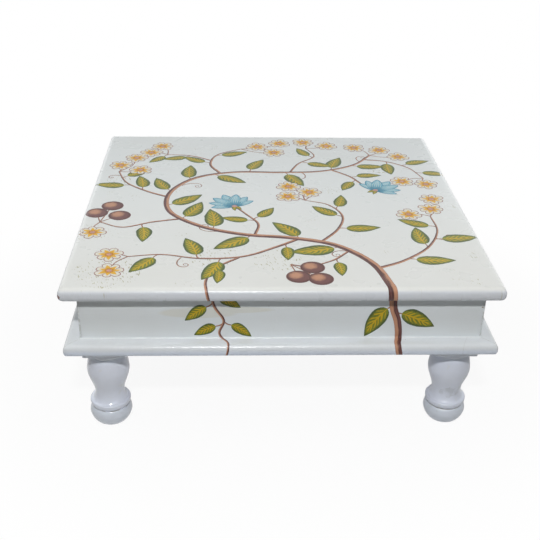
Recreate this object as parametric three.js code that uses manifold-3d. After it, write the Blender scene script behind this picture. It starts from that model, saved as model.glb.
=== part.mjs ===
import * as THREE from "three";
import { mergeVertices } from "three/addons/utils/BufferGeometryUtils.js";
import Module from "manifold-3d";

// A bajot, a low square table: a nosed top board on a shallow box of four apron boards, a nosed base
// moulding under the box, and four turned feet with square heads at the corners.
// Millimetres, +Z up, the front faces -Y, and the origin is on the floor under the middle of the table.

// Top board
const table_width = 450;
const table_depth = 450;
const top_thickness = 16;
const top_overhang = 16; // past the outer face of the apron
const top_corner_radius = 3; // in plan

// Apron boards, which make the sides of the box
const apron_height = 50.5;
const apron_thickness = 12;

// Base moulding, four mitred strips laid flat under the apron
const moulding_thickness = 14;
const moulding_projection = 16; // past the outer face of the apron

// Turned foot: heights of its members from the sole up, and the radius that each one ends on
const sole_radius = 14;
const bun_rise = 13.5;
const bun_radius = 22.9;
const bun_straight_share = 0.4; // how far its lower curve is drawn in towards a straight line
const bun_shoulder_rise = 8.5;
const groove_radius = 18.8;
const rim_rise = 7.5;
const rim_radius = 22;
const cove_rise = 9.5;
const neck_radius = 16;
const vase_rise = 29.5;
const vase_radius = 22.8;
const vase_shoulder_rise = 19;
const vase_shoulder_straight_share = 0.5; // as for the bun, over its shoulder
const collar_groove_radius = 18.4;
const collar_height = 6;
const collar_radius = 20.5;
const foot_head_side = 46;
const foot_head_height = 10.5;

// Tenon of the foot, through the moulding and up into the corner block
const tenon_radius = 7;
const tenon_reach = 30; // above the moulding

// Wooden blocks and battens inside the box
const corner_block_side = 34;
const batten_width = 30;
const batten_thickness = 18;
const glue_block_leg = 20;
const glue_block_length = 60;

// Countersunk wood screws
const screw_head_radius = 4;
const screw_head_height = 3;
const screw_shank_radius = 2;
const screw_tip_height = 4;
const moulding_screw_length = 38;
const batten_screw_length = 28;

// Fits: the glue line between flat faces, the clearance round cut and turned pieces, and how far a cut
// runs past the face that it opens
const glue_line = 0.1;
const clearance = 0.3;
const overrun = 1;

// Places along a piece, as shares of half its length
const batten_place_share = 0.5;
const batten_screw_shares = [-0.8, 0, 0.8];
const moulding_screw_shares = [-0.5, 0.5];
const side_glue_block_shares = [-0.4, 0.4];
const end_glue_block_shares = [0];

// Counts of steps round a full circle and along an arc
const foot_steps = 28;
const bore_steps = 24;
const screw_steps = 12;
const arc_steps = 4;
const nose_steps = 6;

// Levels, from the floor up
const foot_height =
  bun_rise +
  bun_shoulder_rise +
  rim_rise +
  cove_rise +
  vase_rise +
  vase_shoulder_rise +
  collar_height +
  foot_head_height;
const moulding_level = foot_height + glue_line;
const apron_level = moulding_level + moulding_thickness + glue_line;
const top_level = apron_level + apron_height + glue_line;

// Plan sizes that follow
const apron_width = table_width - 2 * top_overhang;
const apron_depth = table_depth - 2 * top_overhang;
const box_width = apron_width - 2 * apron_thickness;
const box_depth = apron_depth - 2 * apron_thickness;
const moulding_width = apron_width + 2 * moulding_projection;
const moulding_depth = apron_depth + 2 * moulding_projection;
const moulding_strip = moulding_projection + foot_head_side;
const foot_x = (apron_width - foot_head_side) / 2;
const foot_y = (apron_depth - foot_head_side) / 2;

// Finishes
const enamel = new THREE.MeshStandardMaterial({ color: 0xdcdfda, roughness: 0.25, metalness: 0 });
const bare_wood = new THREE.MeshStandardMaterial({ color: 0x8b6447, roughness: 0.8, metalness: 0 });
const steel = new THREE.MeshStandardMaterial({ color: 0xa9a9a4, roughness: 0.4, metalness: 1 });

const wasm = await Module();
wasm.setup();

const axis_x = new THREE.Vector3(1, 0, 0);
const axis_y = new THREE.Vector3(0, 1, 0);
const axis_z = new THREE.Vector3(0, 0, 1);

// A closed geometry as a solid that can be joined and cut
function solidOf(geometry) {
  const plain = geometry.index ? geometry.toNonIndexed() : geometry.clone();
  plain.deleteAttribute("normal");
  plain.deleteAttribute("uv");
  const merged = mergeVertices(plain);
  return new wasm.Manifold(
    new wasm.Mesh({
      numProp: 3,
      vertProperties: merged.attributes.position.array,
      triVerts: new Uint32Array(merged.index.array),
    }),
  );
}

// A solid as a geometry again
function geometryOf(solid) {
  const mesh = solid.getMesh();
  const geometry = new THREE.BufferGeometry();
  geometry.setAttribute("position", new THREE.BufferAttribute(new Float32Array(mesh.vertProperties), 3));
  geometry.setIndex(new THREE.BufferAttribute(new Uint32Array(mesh.triVerts), 1));
  geometry.computeVertexNormals();
  return geometry;
}

// A geometry with a list of cutters taken away
function cut(geometry, cutters) {
  let solid = solidOf(geometry);
  for (const cutter of cutters) solid = solid.subtract(solidOf(cutter));
  return geometryOf(solid);
}

function extruded(shape, length, curve_steps = nose_steps) {
  return new THREE.ExtrudeGeometry(shape, {
    depth: length,
    bevelEnabled: false,
    curveSegments: curve_steps,
  });
}

// An outline drawn in Y and Z, carried along X about the middle
function alongX(shape, length) {
  const geometry = extruded(shape, length);
  geometry.translate(0, 0, -length / 2);
  return geometry.applyMatrix4(new THREE.Matrix4().makeBasis(axis_y, axis_z, axis_x));
}

// A turned shape about +Z from radius and height pairs
function turned(points, steps) {
  const outline = points.map(([radius, height]) => new THREE.Vector2(radius, height));
  const geometry = new THREE.LatheGeometry(outline, steps);
  return geometry.rotateX(Math.PI / 2);
}

function upright(radius, bottom, top) {
  const geometry = new THREE.CylinderGeometry(radius, radius, top - bottom, bore_steps);
  geometry.rotateX(Math.PI / 2);
  return geometry.translate(0, 0, (bottom + top) / 2);
}

function box(width, depth, bottom, top) {
  const geometry = new THREE.BoxGeometry(width, depth, top - bottom);
  return geometry.translate(0, 0, (bottom + top) / 2);
}

// A quarter of an ellipse between two radius and height pairs, leaving the first level or upright, and
// drawn in towards the straight line between them by a share
function quarterArc([r0, z0], [r1, z1], leaves_level, straight_share = 0) {
  const points = [];
  for (let step = 1; step <= arc_steps; step++) {
    const way = step / arc_steps;
    const fast = Math.sin((Math.PI / 2) * way);
    const slow = 1 - Math.cos((Math.PI / 2) * way);
    const out = (leaves_level ? fast : slow) * (1 - straight_share) + way * straight_share;
    const up = (leaves_level ? slow : fast) * (1 - straight_share) + way * straight_share;
    points.push([r0 + (r1 - r0) * out, z0 + (z1 - z0) * up]);
  }
  return points;
}

// Half a wave between two radius and height pairs
function swell([r0, z0], [r1, z1]) {
  const points = [];
  const steps = 2 * arc_steps;
  for (let step = 1; step <= steps; step++) {
    const share = step / steps;
    points.push([r0 + ((r1 - r0) * (1 - Math.cos(Math.PI * share))) / 2, z0 + (z1 - z0) * share]);
  }
  return points;
}

// An outline with both ends half round, centred on Y and standing on Z = 0
function nosedOutline(length, thickness) {
  const radius = thickness / 2;
  const reach = length / 2 - radius;
  const shape = new THREE.Shape();
  shape.moveTo(-reach, 0);
  shape.lineTo(reach, 0);
  shape.absarc(reach, radius, radius, -Math.PI / 2, Math.PI / 2, false);
  shape.lineTo(-reach, thickness);
  shape.absarc(-reach, radius, radius, Math.PI / 2, (3 * Math.PI) / 2, false);
  return shape;
}

function roundedRectangle(width, depth, radius) {
  const x = width / 2;
  const y = depth / 2;
  const shape = new THREE.Shape();
  shape.moveTo(radius - x, -y);
  shape.absarc(x - radius, radius - y, radius, -Math.PI / 2, 0, false);
  shape.absarc(x - radius, y - radius, radius, 0, Math.PI / 2, false);
  shape.absarc(radius - x, y - radius, radius, Math.PI / 2, Math.PI, false);
  shape.absarc(radius - x, radius - y, radius, Math.PI, (3 * Math.PI) / 2, false);
  return shape;
}

// A countersunk screw that points up from the face of its head
function screwGeometry(length) {
  return turned(
    [
      [0, 0],
      [screw_head_radius, 0],
      [screw_shank_radius, screw_head_height],
      [screw_shank_radius, length - screw_tip_height],
      [0, length],
    ],
    screw_steps,
  );
}

// The bore that holds such a screw, open below
function screwBore(length) {
  const head = screw_head_radius + clearance;
  const shank = screw_shank_radius + clearance;
  return turned(
    [
      [0, -overrun],
      [head, -overrun],
      [head, 0],
      [shank, screw_head_height],
      [shank, length - screw_tip_height + clearance],
      [0, length + clearance],
    ],
    screw_steps,
  );
}

const part = new THREE.Group();

function addMesh(parent, name, geometry, material, x, y, z) {
  const mesh = new THREE.Mesh(geometry, material);
  mesh.name = name;
  mesh.position.set(x, y, z);
  parent.add(mesh);
}

// The four sides, each in a group that turns the front to it: the run along it and the reach out to it
const sides = [
  { name: "front", turn: 0, along: "width" },
  { name: "right", turn: Math.PI / 2, along: "depth" },
  { name: "back", turn: Math.PI, along: "width" },
  { name: "left", turn: -Math.PI / 2, along: "depth" },
];

function spanOf(side, width, depth) {
  return side.along === "width" ? { run: width, reach: depth / 2 } : { run: depth, reach: width / 2 };
}

// Battens under the top, front to back, and the screws that hold the top to them
const batten_length = box_depth - 2 * glue_line;
const batten_level = top_level - glue_line - batten_thickness;
const battens = [
  { name: "left", x: (-batten_place_share * box_width) / 2 },
  { name: "right", x: (batten_place_share * box_width) / 2 },
];
const batten_screw_places = batten_screw_shares.map((share) => (share * batten_length) / 2);

function addTopBoard() {
  const over_width = alongX(nosedOutline(table_depth, top_thickness), table_width);
  const over_depth = alongX(nosedOutline(table_width, top_thickness), table_depth);
  over_depth.rotateZ(Math.PI / 2);
  const corners = roundedRectangle(table_width, table_depth, top_corner_radius);
  const plan = extruded(corners, top_thickness, arc_steps);
  let board = solidOf(over_width).intersect(solidOf(over_depth)).intersect(solidOf(plan));
  for (const { x } of battens) {
    for (const y of batten_screw_places) {
      const bore = screwBore(batten_screw_length);
      bore.translate(x, y, batten_level - top_level);
      board = board.subtract(solidOf(bore));
    }
  }
  addMesh(part, "top_board", geometryOf(board), enamel, 0, 0, top_level);
}

function addBattens() {
  for (const { name, x } of battens) {
    const bores = batten_screw_places.map((y) => screwBore(batten_screw_length).translate(0, y, 0));
    const blank = box(batten_width, batten_length, 0, batten_thickness);
    addMesh(part, `batten_${name}`, cut(blank, bores), bare_wood, x, 0, batten_level);
    batten_screw_places.forEach((y, index) => {
      const screw = screwGeometry(batten_screw_length);
      addMesh(part, `batten_screw_${name}_${index + 1}`, screw, steel, x, y, batten_level);
    });
  }
}

// Places of the moulding screws along a side
function mouldingScrewPlaces(side) {
  const { run } = spanOf(side, apron_width, apron_depth);
  return moulding_screw_shares.map((share) => (share * run) / 2);
}

// A board on edge, mitred at both ends, with its outer face at the front
function addApron(side, group) {
  const { run, reach } = spanOf(side, apron_width, apron_depth);
  const outer = run / 2 - glue_line;
  const inner = outer - apron_thickness;
  const shape = new THREE.Shape([
    new THREE.Vector2(-outer, 0),
    new THREE.Vector2(outer, 0),
    new THREE.Vector2(inner, apron_thickness),
    new THREE.Vector2(-inner, apron_thickness),
  ]);
  const bores = mouldingScrewPlaces(side).map((x) =>
    screwBore(moulding_screw_length).translate(x, apron_thickness / 2, moulding_level - apron_level),
  );
  const board = cut(extruded(shape, apron_height), bores);
  addMesh(group, `apron_${side.name}`, board, enamel, 0, -reach, apron_level);
}

// A flat strip with a half-round outer edge, mitred at both ends
function addMoulding(side, group) {
  const { run, reach } = spanOf(side, moulding_width, moulding_depth);
  const radius = moulding_thickness / 2;
  const outline = new THREE.Shape();
  outline.moveTo(radius, 0);
  outline.lineTo(moulding_strip, 0);
  outline.lineTo(moulding_strip, moulding_thickness);
  outline.lineTo(radius, moulding_thickness);
  outline.absarc(radius, radius, radius, Math.PI / 2, (3 * Math.PI) / 2, false);
  const strip = alongX(outline, run);
  const places = strip.attributes.position;
  for (let index = 0; index < places.count; index++) {
    const shortened = run / 2 - places.getY(index) - glue_line;
    places.setX(index, Math.sign(places.getX(index)) * shortened);
  }
  const axis_inset = moulding_projection + foot_head_side / 2;
  const bores = [-1, 1].map((end) =>
    upright(tenon_radius + clearance, -overrun, moulding_thickness + overrun).translate(
      end * (run / 2 - axis_inset),
      axis_inset,
      0,
    ),
  );
  const screw_inset = moulding_projection + apron_thickness / 2;
  const screw_bores = mouldingScrewPlaces(side).map((x) =>
    screwBore(moulding_screw_length).translate(x, screw_inset, 0),
  );
  const bored = cut(strip, [...bores, ...screw_bores]);
  addMesh(group, `moulding_${side.name}`, bored, enamel, 0, -reach, moulding_level);
  mouldingScrewPlaces(side).forEach((x, index) => {
    const name = `moulding_screw_${side.name}_${index + 1}`;
    addMesh(group, name, screwGeometry(moulding_screw_length), steel, x, screw_inset - reach, moulding_level);
  });
}

// Three-cornered blocks rubbed with glue into the angle of the apron and the top
function addGlueBlocks(side, group) {
  const { run, reach } = spanOf(side, box_width, box_depth);
  const shares = side.along === "width" ? end_glue_block_shares : side_glue_block_shares;
  const outline = new THREE.Shape([
    new THREE.Vector2(0, 0),
    new THREE.Vector2(0, -glue_block_leg),
    new THREE.Vector2(glue_block_leg, 0),
  ]);
  shares.forEach((share, index) => {
    const name = shares.length > 1 ? `glue_block_${side.name}_${index + 1}` : `glue_block_${side.name}`;
    const block = alongX(outline, glue_block_length);
    addMesh(group, name, block, bare_wood, (share * run) / 2, glue_line - reach, top_level - glue_line);
  });
}

// The foot with its square head and its tenon in one piece of wood
function footGeometry() {
  const bun = [bun_radius, bun_rise];
  const groove = [groove_radius, bun[1] + bun_shoulder_rise];
  const rim = [rim_radius, groove[1] + rim_rise];
  const neck = [neck_radius, rim[1] + cove_rise];
  const vase = [vase_radius, neck[1] + vase_rise];
  const collar_groove = [collar_groove_radius, vase[1] + vase_shoulder_rise];
  const collar_middle = [collar_radius, collar_groove[1] + collar_height / 2];
  const collar_top = [collar_groove_radius, collar_groove[1] + collar_height];
  const body = turned(
    [
      [0, 0],
      [sole_radius, 0],
      ...quarterArc([sole_radius, 0], bun, true, bun_straight_share),
      ...quarterArc(bun, groove, false),
      ...quarterArc(groove, rim, true),
      ...quarterArc(rim, neck, true),
      ...swell(neck, vase),
      ...quarterArc(vase, collar_groove, false, vase_shoulder_straight_share),
      ...quarterArc(collar_groove, collar_middle, true),
      ...quarterArc(collar_middle, collar_top, false),
      [collar_groove_radius, foot_height - foot_head_height / 2],
      [0, foot_height - foot_head_height / 2],
    ],
    foot_steps,
  );
  const head = box(foot_head_side, foot_head_side, foot_height - foot_head_height, foot_height);
  const tenon = upright(tenon_radius, foot_height - foot_head_height / 2, apron_level + tenon_reach);
  return geometryOf(solidOf(body).add(solidOf(head)).add(solidOf(tenon)));
}

// A square block in each inner corner of the box, bored from below for the tenon
function cornerBlockGeometry(from_axis_x, from_axis_y) {
  const bore = upright(tenon_radius + clearance, -overrun, tenon_reach + clearance);
  bore.translate(from_axis_x, from_axis_y, 0);
  return cut(box(corner_block_side, corner_block_side, 0, apron_height), [bore]);
}

function addCorners() {
  const block_x = box_width / 2 - glue_line - corner_block_side / 2;
  const block_y = box_depth / 2 - glue_line - corner_block_side / 2;
  for (const [row, side_y] of [
    ["front", -1],
    ["back", 1],
  ]) {
    for (const [column, side_x] of [
      ["left", -1],
      ["right", 1],
    ]) {
      const corner = new THREE.Group();
      part.add(corner);
      const block = cornerBlockGeometry(side_x * (foot_x - block_x), side_y * (foot_y - block_y));
      const block_name = `corner_block_${row}_${column}`;
      addMesh(corner, block_name, block, bare_wood, side_x * block_x, side_y * block_y, apron_level);
      const foot_name = `foot_${row}_${column}`;
      addMesh(corner, foot_name, footGeometry(), enamel, side_x * foot_x, side_y * foot_y, 0);
    }
  }
}

addTopBoard();
addBattens();
addCorners();
for (const side of sides) {
  const group = new THREE.Group();
  group.rotation.z = side.turn;
  part.add(group);
  addApron(side, group);
  addMoulding(side, group);
  addGlueBlocks(side, group);
}

export default part;
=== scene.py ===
import math
import random

import bmesh
import bpy
from bpy.props import FloatProperty, FloatVectorProperty, IntProperty, PointerProperty
from mathutils import Matrix, Vector


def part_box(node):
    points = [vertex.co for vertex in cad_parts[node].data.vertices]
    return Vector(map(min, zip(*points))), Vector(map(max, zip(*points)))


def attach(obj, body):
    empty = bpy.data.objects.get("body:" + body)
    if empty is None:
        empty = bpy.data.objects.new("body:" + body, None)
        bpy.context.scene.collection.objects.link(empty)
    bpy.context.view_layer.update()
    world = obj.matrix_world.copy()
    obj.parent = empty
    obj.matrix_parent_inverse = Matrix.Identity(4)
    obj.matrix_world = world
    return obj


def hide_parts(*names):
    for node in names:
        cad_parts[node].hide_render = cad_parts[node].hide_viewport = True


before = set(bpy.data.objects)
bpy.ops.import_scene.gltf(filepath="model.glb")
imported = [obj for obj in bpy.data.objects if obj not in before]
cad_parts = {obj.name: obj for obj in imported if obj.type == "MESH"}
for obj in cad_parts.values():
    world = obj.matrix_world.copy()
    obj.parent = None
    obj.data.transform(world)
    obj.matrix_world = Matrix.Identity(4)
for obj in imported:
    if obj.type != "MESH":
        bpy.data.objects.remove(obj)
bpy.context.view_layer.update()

bl_info = {
    "name": "Bajot Low Table",
    "version": (1, 0, 0),
    "blender": (4, 5, 0),
    "location": "3D View > Sidebar > Bajot",
    "description": "Builds the finished surfaces of a hand-painted bajot low table",
    "category": "Add Mesh",
}

BODY = "root"
MM = 0.001

# Depth of the relief that a bump gives to each finish
ENAMEL_RELIEF = 0.05 * MM
PAINT_RELIEF = 0.06 * MM
WOOD_RELIEF = 0.25 * MM

# How much the pattern of wood or brush strokes is squeezed along each axis
GRAINS = {"x": (0.06, 1.0, 1.0), "y": (1.0, 0.06, 1.0), "z": (1.0, 1.0, 0.06)}

# The axis that the wood runs along in each kind of hidden piece
BLOCK_RUNS = {
    "batten_left": "y",
    "batten_right": "y",
    "corner_block": "z",
    "glue_block_front": "x",
    "glue_block_back": "x",
    "glue_block_left": "y",
    "glue_block_right": "y",
}

# A screw's head: its height as a share of its radius, and how far each slot is turned past the one before
HEAD_SHARE = 0.75
SLOT_TURN = 2.4

# Steps of round shapes
TOP_NOSE_STEPS = 40
MOULDING_NOSE_STEPS = 32
MITRE_STEPS = 4
FOOT_STEPS = 96
BEAD_STEPS = 260
BEAD_CORNERS = 8
BEAD_SEED = 11

# Radius of the painting's way over a bead, as a share of the bead's own
BEAD_COVER_SHARE = 1.2

# Places that the construction model gives
TOP_LOW, TOP_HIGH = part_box("top_board")
APRON_LOW, APRON_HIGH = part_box("apron_front")
MOULDING_LOW, MOULDING_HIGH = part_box("moulding_front")
FOOT_LOW, FOOT_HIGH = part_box("foot_front_left")
SCREW_LOW, SCREW_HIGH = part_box("moulding_screw_front_1")
HALF = TOP_HIGH.x
APRON_REACH = -APRON_LOW.y
APRON_THICKNESS = APRON_HIGH.y - APRON_LOW.y
BOX_REACH = APRON_REACH - APRON_THICKNESS
TOP_THICKNESS = TOP_HIGH.z - TOP_LOW.z
MOULDING_THICKNESS = MOULDING_HIGH.z - MOULDING_LOW.z
MOULDING_STRIP = MOULDING_HIGH.y - MOULDING_LOW.y
NOSE = TOP_THICKNESS / 2
MOULDING_NOSE = MOULDING_THICKNESS / 2
SIDES = ("front", "right", "back", "left")
LONG_SIDES = ("front", "back")
CORNERS = ("front_left", "front_right", "back_left", "back_right")


def mm(*values):
    """Millimetres as metres"""
    return tuple(value * MM for value in values)


def number(name, description, default, unit="NONE"):
    return FloatProperty(name=name, description=description, default=default, unit=unit)


def length(name, description, millimetres):
    return number(name, description, millimetres * MM, "LENGTH")


def colour(name, description, default):
    return FloatVectorProperty(
        name=name, description=description, default=default, size=3, min=0, max=1, subtype="COLOR"
    )


class BajotSizes(bpy.types.PropertyGroup):
    """Sizes of the finished surfaces"""

    paint_room: length("Paint room", "How far the enamel lies inside the outer size, for the painting", 0.25)
    film: length("Paint film", "Thickness of one coat of the painting", 0.035)
    ease: length("Eased edge", "Width of the eased edges of boards and blocks", 0.6)
    top_corner: length("Top corner", "Radius of the top's corners in plan", 3)
    moulding_corner: length("Moulding corner", "Radius of the moulding's corners in plan", 2.5)
    bead: length("Joint bead", "Radius of the enamel in the joint over the moulding", 0.9)
    nose_power: number("Nose fullness", "Fullness of a nose: 2 is a half round, and more is squarer", 2.5)
    joint_return: length("Joint return", "How far the side boards show on the front", 1.6)
    joint_gap: length("Joint gap", "Width of the open line in a mitre", 0.1)
    slot_width: length("Screw slot width", "Width of the slot in a screw's head", 0.9)
    slot_depth: length("Screw slot depth", "Depth of the slot in a screw's head", 1)


class BajotFoot(bpy.types.PropertyGroup):
    """Heights and radii of the turned foot, from the floor up"""

    sole_radius: length("Sole radius", "Radius of the flat sole", 14)
    bun_rise: length("Bun rise", "Height of the bun's widest line", 13.5)
    bun_radius: length("Bun radius", "Widest radius of the bun", 22.9)
    shoulder_rise: length("Bun shoulder", "Height from the bun's widest line to the groove", 8.5)
    groove_radius: length("Groove radius", "Radius in the groove", 18.8)
    rim_rise: length("Rim rise", "Height from the groove to the rim", 7.5)
    rim_radius: length("Rim radius", "Radius of the rim over the groove", 22)
    rim_ease: length("Rim ease", "Width of the rim's rounded edge", 1.6)
    cove_rise: length("Cove rise", "Height from the rim to the neck", 9.5)
    neck_radius: length("Neck radius", "Radius of the neck", 16)
    vase_rise: length("Vase rise", "Height from the neck to the vase's widest line", 29.5)
    vase_radius: length("Vase radius", "Widest radius of the vase", 22.8)
    vase_shoulder: length("Vase shoulder", "Height from the vase's widest line to the collar", 19)
    collar_groove: length("Collar groove", "Radius of the grooves at the collar", 18.4)
    collar_height: length("Collar height", "Height of the collar", 6)
    collar_radius: length("Collar radius", "Radius of the collar", 20.5)
    head_height: length("Head height", "Height of the square head", 10.5)
    head_side: length("Head side", "Side of the square head", 46)
    tenon_radius: length("Tenon radius", "Radius of the tenon", 7)


class BajotPainting(bpy.types.PropertyGroup):
    """Sizes of the painted creeper"""

    leaf_length: length("Leaf length", "Length of a full leaf", 49)
    leaf_width: length("Leaf width", "Width of a full leaf", 24)
    petal_length: length("Petal length", "Length of a rosette's petal", 13.6)
    petal_width: length("Petal width", "Width of a rosette's petal", 8.4)
    lotus_length: length("Lotus petal", "Length of a lotus's middle petal", 36)
    lotus_width: length("Lotus petal width", "Width of a lotus's petal", 15)
    berry: length("Berry", "Diameter of a berry", 25)
    stalk: length("Stalk", "Length of a leaf's stalk", 7)
    stalk_width: length("Stalk width", "Width of a leaf's stalk", 1.3)
    step: length("Step", "Distance between sections along a painted stem", 1.1)
    petals: IntProperty(name="Petals", description="Petals of a rosette", default=7, min=3)


class BajotColours(bpy.types.PropertyGroup):
    """Colours of the finishes"""

    enamel: colour("Top enamel", "The warm off-white enamel of the top", (0.805, 0.805, 0.79))
    enamel_back: colour("Top enamel at the back", "The less yellowed enamel at the back", (0.79, 0.81, 0.82))
    # Painted shade: the box, the feet and the top's nose take this cooler copy of the top's enamel, which
    # stands in for the bluish light on them
    enamel_shaded_cool: colour("Side enamel", "The cooler enamel of the box and the feet", (0.765, 0.808, 0.83))
    enamel_aged: colour("Aged enamel", "Yellowed and rubbed enamel", (0.68, 0.67, 0.60))
    # This colour also darkens the feet's grooves, where it is partly painted shade.
    grime_and_shade: colour("Grime", "Dirt in joints and specks", (0.24, 0.205, 0.12))
    chipped: colour("Chipped spot", "Dull plum primer where the enamel is chipped", (0.30, 0.14, 0.12))
    wood: colour("Wood", "Bare brown wood", (0.30, 0.165, 0.085))
    wood_dark: colour("Dark wood", "Grain of the bare wood", (0.14, 0.07, 0.035))
    steel: colour("Steel", "Dull screws", (0.42, 0.41, 0.39))
    leaf: colour("Leaf", "Middle green of the leaves", (0.195, 0.225, 0.02))
    leaf_edge: colour("Leaf edge", "Dark green of the leaves", (0.075, 0.10, 0.022))
    leaf_stroke: colour("Leaf stroke", "Ochre strokes in the leaves", (0.62, 0.40, 0.014))
    stem: colour("Stem", "Plum brown of the stems", (0.175, 0.070, 0.062))
    stem_light: colour("Stem light", "Peach on the lit side of the stems", (0.60, 0.31, 0.19))
    petal: colour("Petal", "Cream of the rosettes", (0.80, 0.78, 0.70))
    petal_heart: colour("Petal heart", "Orange yellow of the rosettes", (0.80, 0.46, 0.03))
    outline: colour("Outline", "Fine plum outlines", (0.26, 0.10, 0.085))
    blue: colour("Blue", "Sky blue of the lotus flowers", (0.13, 0.42, 0.56))
    blue_deep: colour("Deep blue", "Shaded blue of the lotus flowers", (0.045, 0.19, 0.30))
    blue_pale: colour("Pale blue", "Lights of the lotus flowers", (0.52, 0.73, 0.80))


class BajotStage(bpy.types.PropertyGroup):
    """Camera, lamps and floor"""

    lens: number("Lens", "Focal length in millimetres", 59.15)
    camera_place: FloatVectorProperty(
        name="Camera place",
        description="Where the camera stands",
        default=(-0.0507, -0.9895, 0.6158),
        unit="LENGTH",
    )
    pitch: number("Pitch", "How far the camera looks down", 0.49079, "ROTATION")
    yaw: number("Yaw", "How far it turns to the right", 0.04666, "ROTATION")
    roll: number("Roll", "How far it leans", 0.02159, "ROTATION")
    key: number("Key lamp", "Power of the front lamp", 14.2, "POWER")
    overhead: number("Overhead lamp", "Power of the soft box overhead", 15.4, "POWER")
    behind: number("Back lamps", "Power of each soft box behind", 7, "POWER")
    room: number("Room light", "Strength of the light from all round", 0.015)


def sizes():
    return bpy.context.scene.bajot_sizes


def painting():
    return bpy.context.scene.bajot_painting


def tints():
    return bpy.context.scene.bajot_colours


# Node trees written as sums


def summed(operation, turned=False):
    """A method that adds a Math node for the wire and another value, which comes first if turned"""

    def method(self, other):
        return self.net.maths(operation, *((other, self) if turned else (self, other)))

    return method


class Wire:
    """A socket of a node tree. Sums on it add Math nodes."""

    def __init__(self, net, socket):
        self.net = net
        self.socket = socket

    def __neg__(self):
        return self * -1

    def __abs__(self):
        return self.net.maths("ABSOLUTE", self)

    __add__ = __radd__ = summed("ADD")
    __mul__ = __rmul__ = summed("MULTIPLY")
    __sub__ = summed("SUBTRACT")
    __rsub__ = summed("SUBTRACT", True)
    __truediv__ = summed("DIVIDE")
    __rtruediv__ = summed("DIVIDE", True)
    __pow__ = summed("POWER")
    __rpow__ = summed("POWER", True)


class Net:
    """A node tree that is being written"""

    def __init__(self, tree):
        self.tree = tree

    def node(self, kind, sockets=None, output=0, **settings):
        """One node, with values or wires for its sockets. The wire that comes back is of the output named."""
        made = self.tree.nodes.new(kind)
        for name, value in settings.items():
            setattr(made, name, value)
        for key, value in (sockets or {}).items():
            self.give(made.inputs[key], value)
        return Wire(self, made.outputs[output])

    def give(self, socket, value):
        if isinstance(value, Wire):
            self.tree.links.new(value.socket, socket)
        elif getattr(socket, "type", "") == "RGBA":
            socket.default_value = (*value, 1)
        else:
            socket.default_value = value

    def maths(self, operation, *values, clamp=False):
        return self.node("ShaderNodeMath", dict(enumerate(values)), operation=operation, use_clamp=clamp)

    def most(self, first, second):
        return self.maths("MAXIMUM", first, second)

    def sine(self, value):
        return self.maths("SINE", value)

    def vectors(self, operation, *values, output=0):
        return self.node("ShaderNodeVectorMath", dict(enumerate(values)), output, operation=operation)

    def parts(self, vector):
        split = self.node("ShaderNodeSeparateXYZ", {0: vector}).socket.node
        return [Wire(self, split.outputs[index]) for index in range(3)]

    def joined(self, x, y, z):
        return self.node("ShaderNodeCombineXYZ", {0: x, 1: y, 2: z})

    def stretched(self, vector, by):
        return self.vectors("MULTIPLY", vector, by)

    def between(self, value, low, high):
        """0 below low and 1 above high, and smooth between them"""
        sockets = {"Value": value, "From Min": low, "From Max": high}
        return self.node("ShaderNodeMapRange", sockets, interpolation_type="SMOOTHSTEP")

    def outside(self, value, low, high):
        """1 below low and 0 above high, and smooth between them"""
        return 1 - self.between(value, low, high)

    def noise(self, vector, scale, detail=2.0, roughness=0.5):
        sockets = {"Vector": vector, "Scale": scale, "Detail": detail, "Roughness": roughness}
        return self.node("ShaderNodeTexNoise", sockets)

    def cells(self, vector, scale, output="Distance"):
        return self.node("ShaderNodeTexVoronoi", {"Vector": vector, "Scale": scale}, output)

    def mixed(self, share, first, second):
        """One colour going over into another"""
        sockets = {0: share, 6: first, 7: second}
        return self.node("ShaderNodeMix", sockets, 2, data_type="RGBA", clamp_factor=True)

    def attribute(self, name):
        return self.node("ShaderNodeAttribute", None, "Fac", attribute_name=name)

    def places(self):
        return self.node("ShaderNodeTexCoord", None, "Object")


def finished(name, mix, *more, relief=ENAMEL_RELIEF, gloss=0.5):
    """A material. Mix gives its colour, roughness, height and, for a metal, how metallic it is."""
    material = bpy.data.materials.new(name)
    material.use_nodes = True
    net = Net(material.node_tree)
    base, rough, height, *metallic = mix(net, net.places(), tints(), *more)
    values = {"Base Color": base, "Roughness": rough, "Specular IOR Level": gloss}
    values["Normal"] = net.node("ShaderNodeBump", {"Height": height, "Distance": relief, "Strength": 1.0})
    if metallic:
        values["Metallic"] = metallic[0]
    for socket, value in values.items():
        net.give(material.node_tree.nodes["Principled BSDF"].inputs[socket], value)
    return material


def wood_shade(net, place, shades, grain):
    """Colour and height of planed brown wood. Grain is how much a pattern is squeezed along each axis."""
    run = net.stretched(place, grain)
    broad = net.noise(run, 55, 3, 0.55)
    fine = net.noise(run, 420, 3, 0.6)
    pores = net.between(net.noise(run, 900, 1), 0.62, 0.74)
    share = net.maths("ADD", broad * 0.75, fine * 0.45, clamp=True)
    base = net.mixed(net.between(share, 0.35, 0.85), shades.wood_dark, shades.wood)
    base = net.mixed(pores * 0.5, base, shades.wood_dark)
    return base, fine * 0.6 + broad * 0.3 - pores * 0.5


def bare_wood(net, place, shades, grain):
    base, height = wood_shade(net, place, shades, grain)
    return base, 0.55 + net.noise(place, 60) * 0.3, height


def blot(net, place, centre, reach, ragged=0.35, scale=260):
    """1 inside a ragged spot round a place, 0 outside. Reach holds its half size along each axis."""
    off = net.vectors("SUBTRACT", place, centre)
    distance = net.vectors("LENGTH", net.vectors("DIVIDE", off, reach), output="Value")
    wobble = (net.noise(place, scale, 3, 0.6) - 0.5) * (2 * ragged)
    return net.outside(distance + wobble, 0.8, 1.05)


class BajotOperator(bpy.types.Operator):
    """A step that makes pieces of the table"""

    bl_options = {"REGISTER", "UNDO"}


# Meshes


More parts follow.
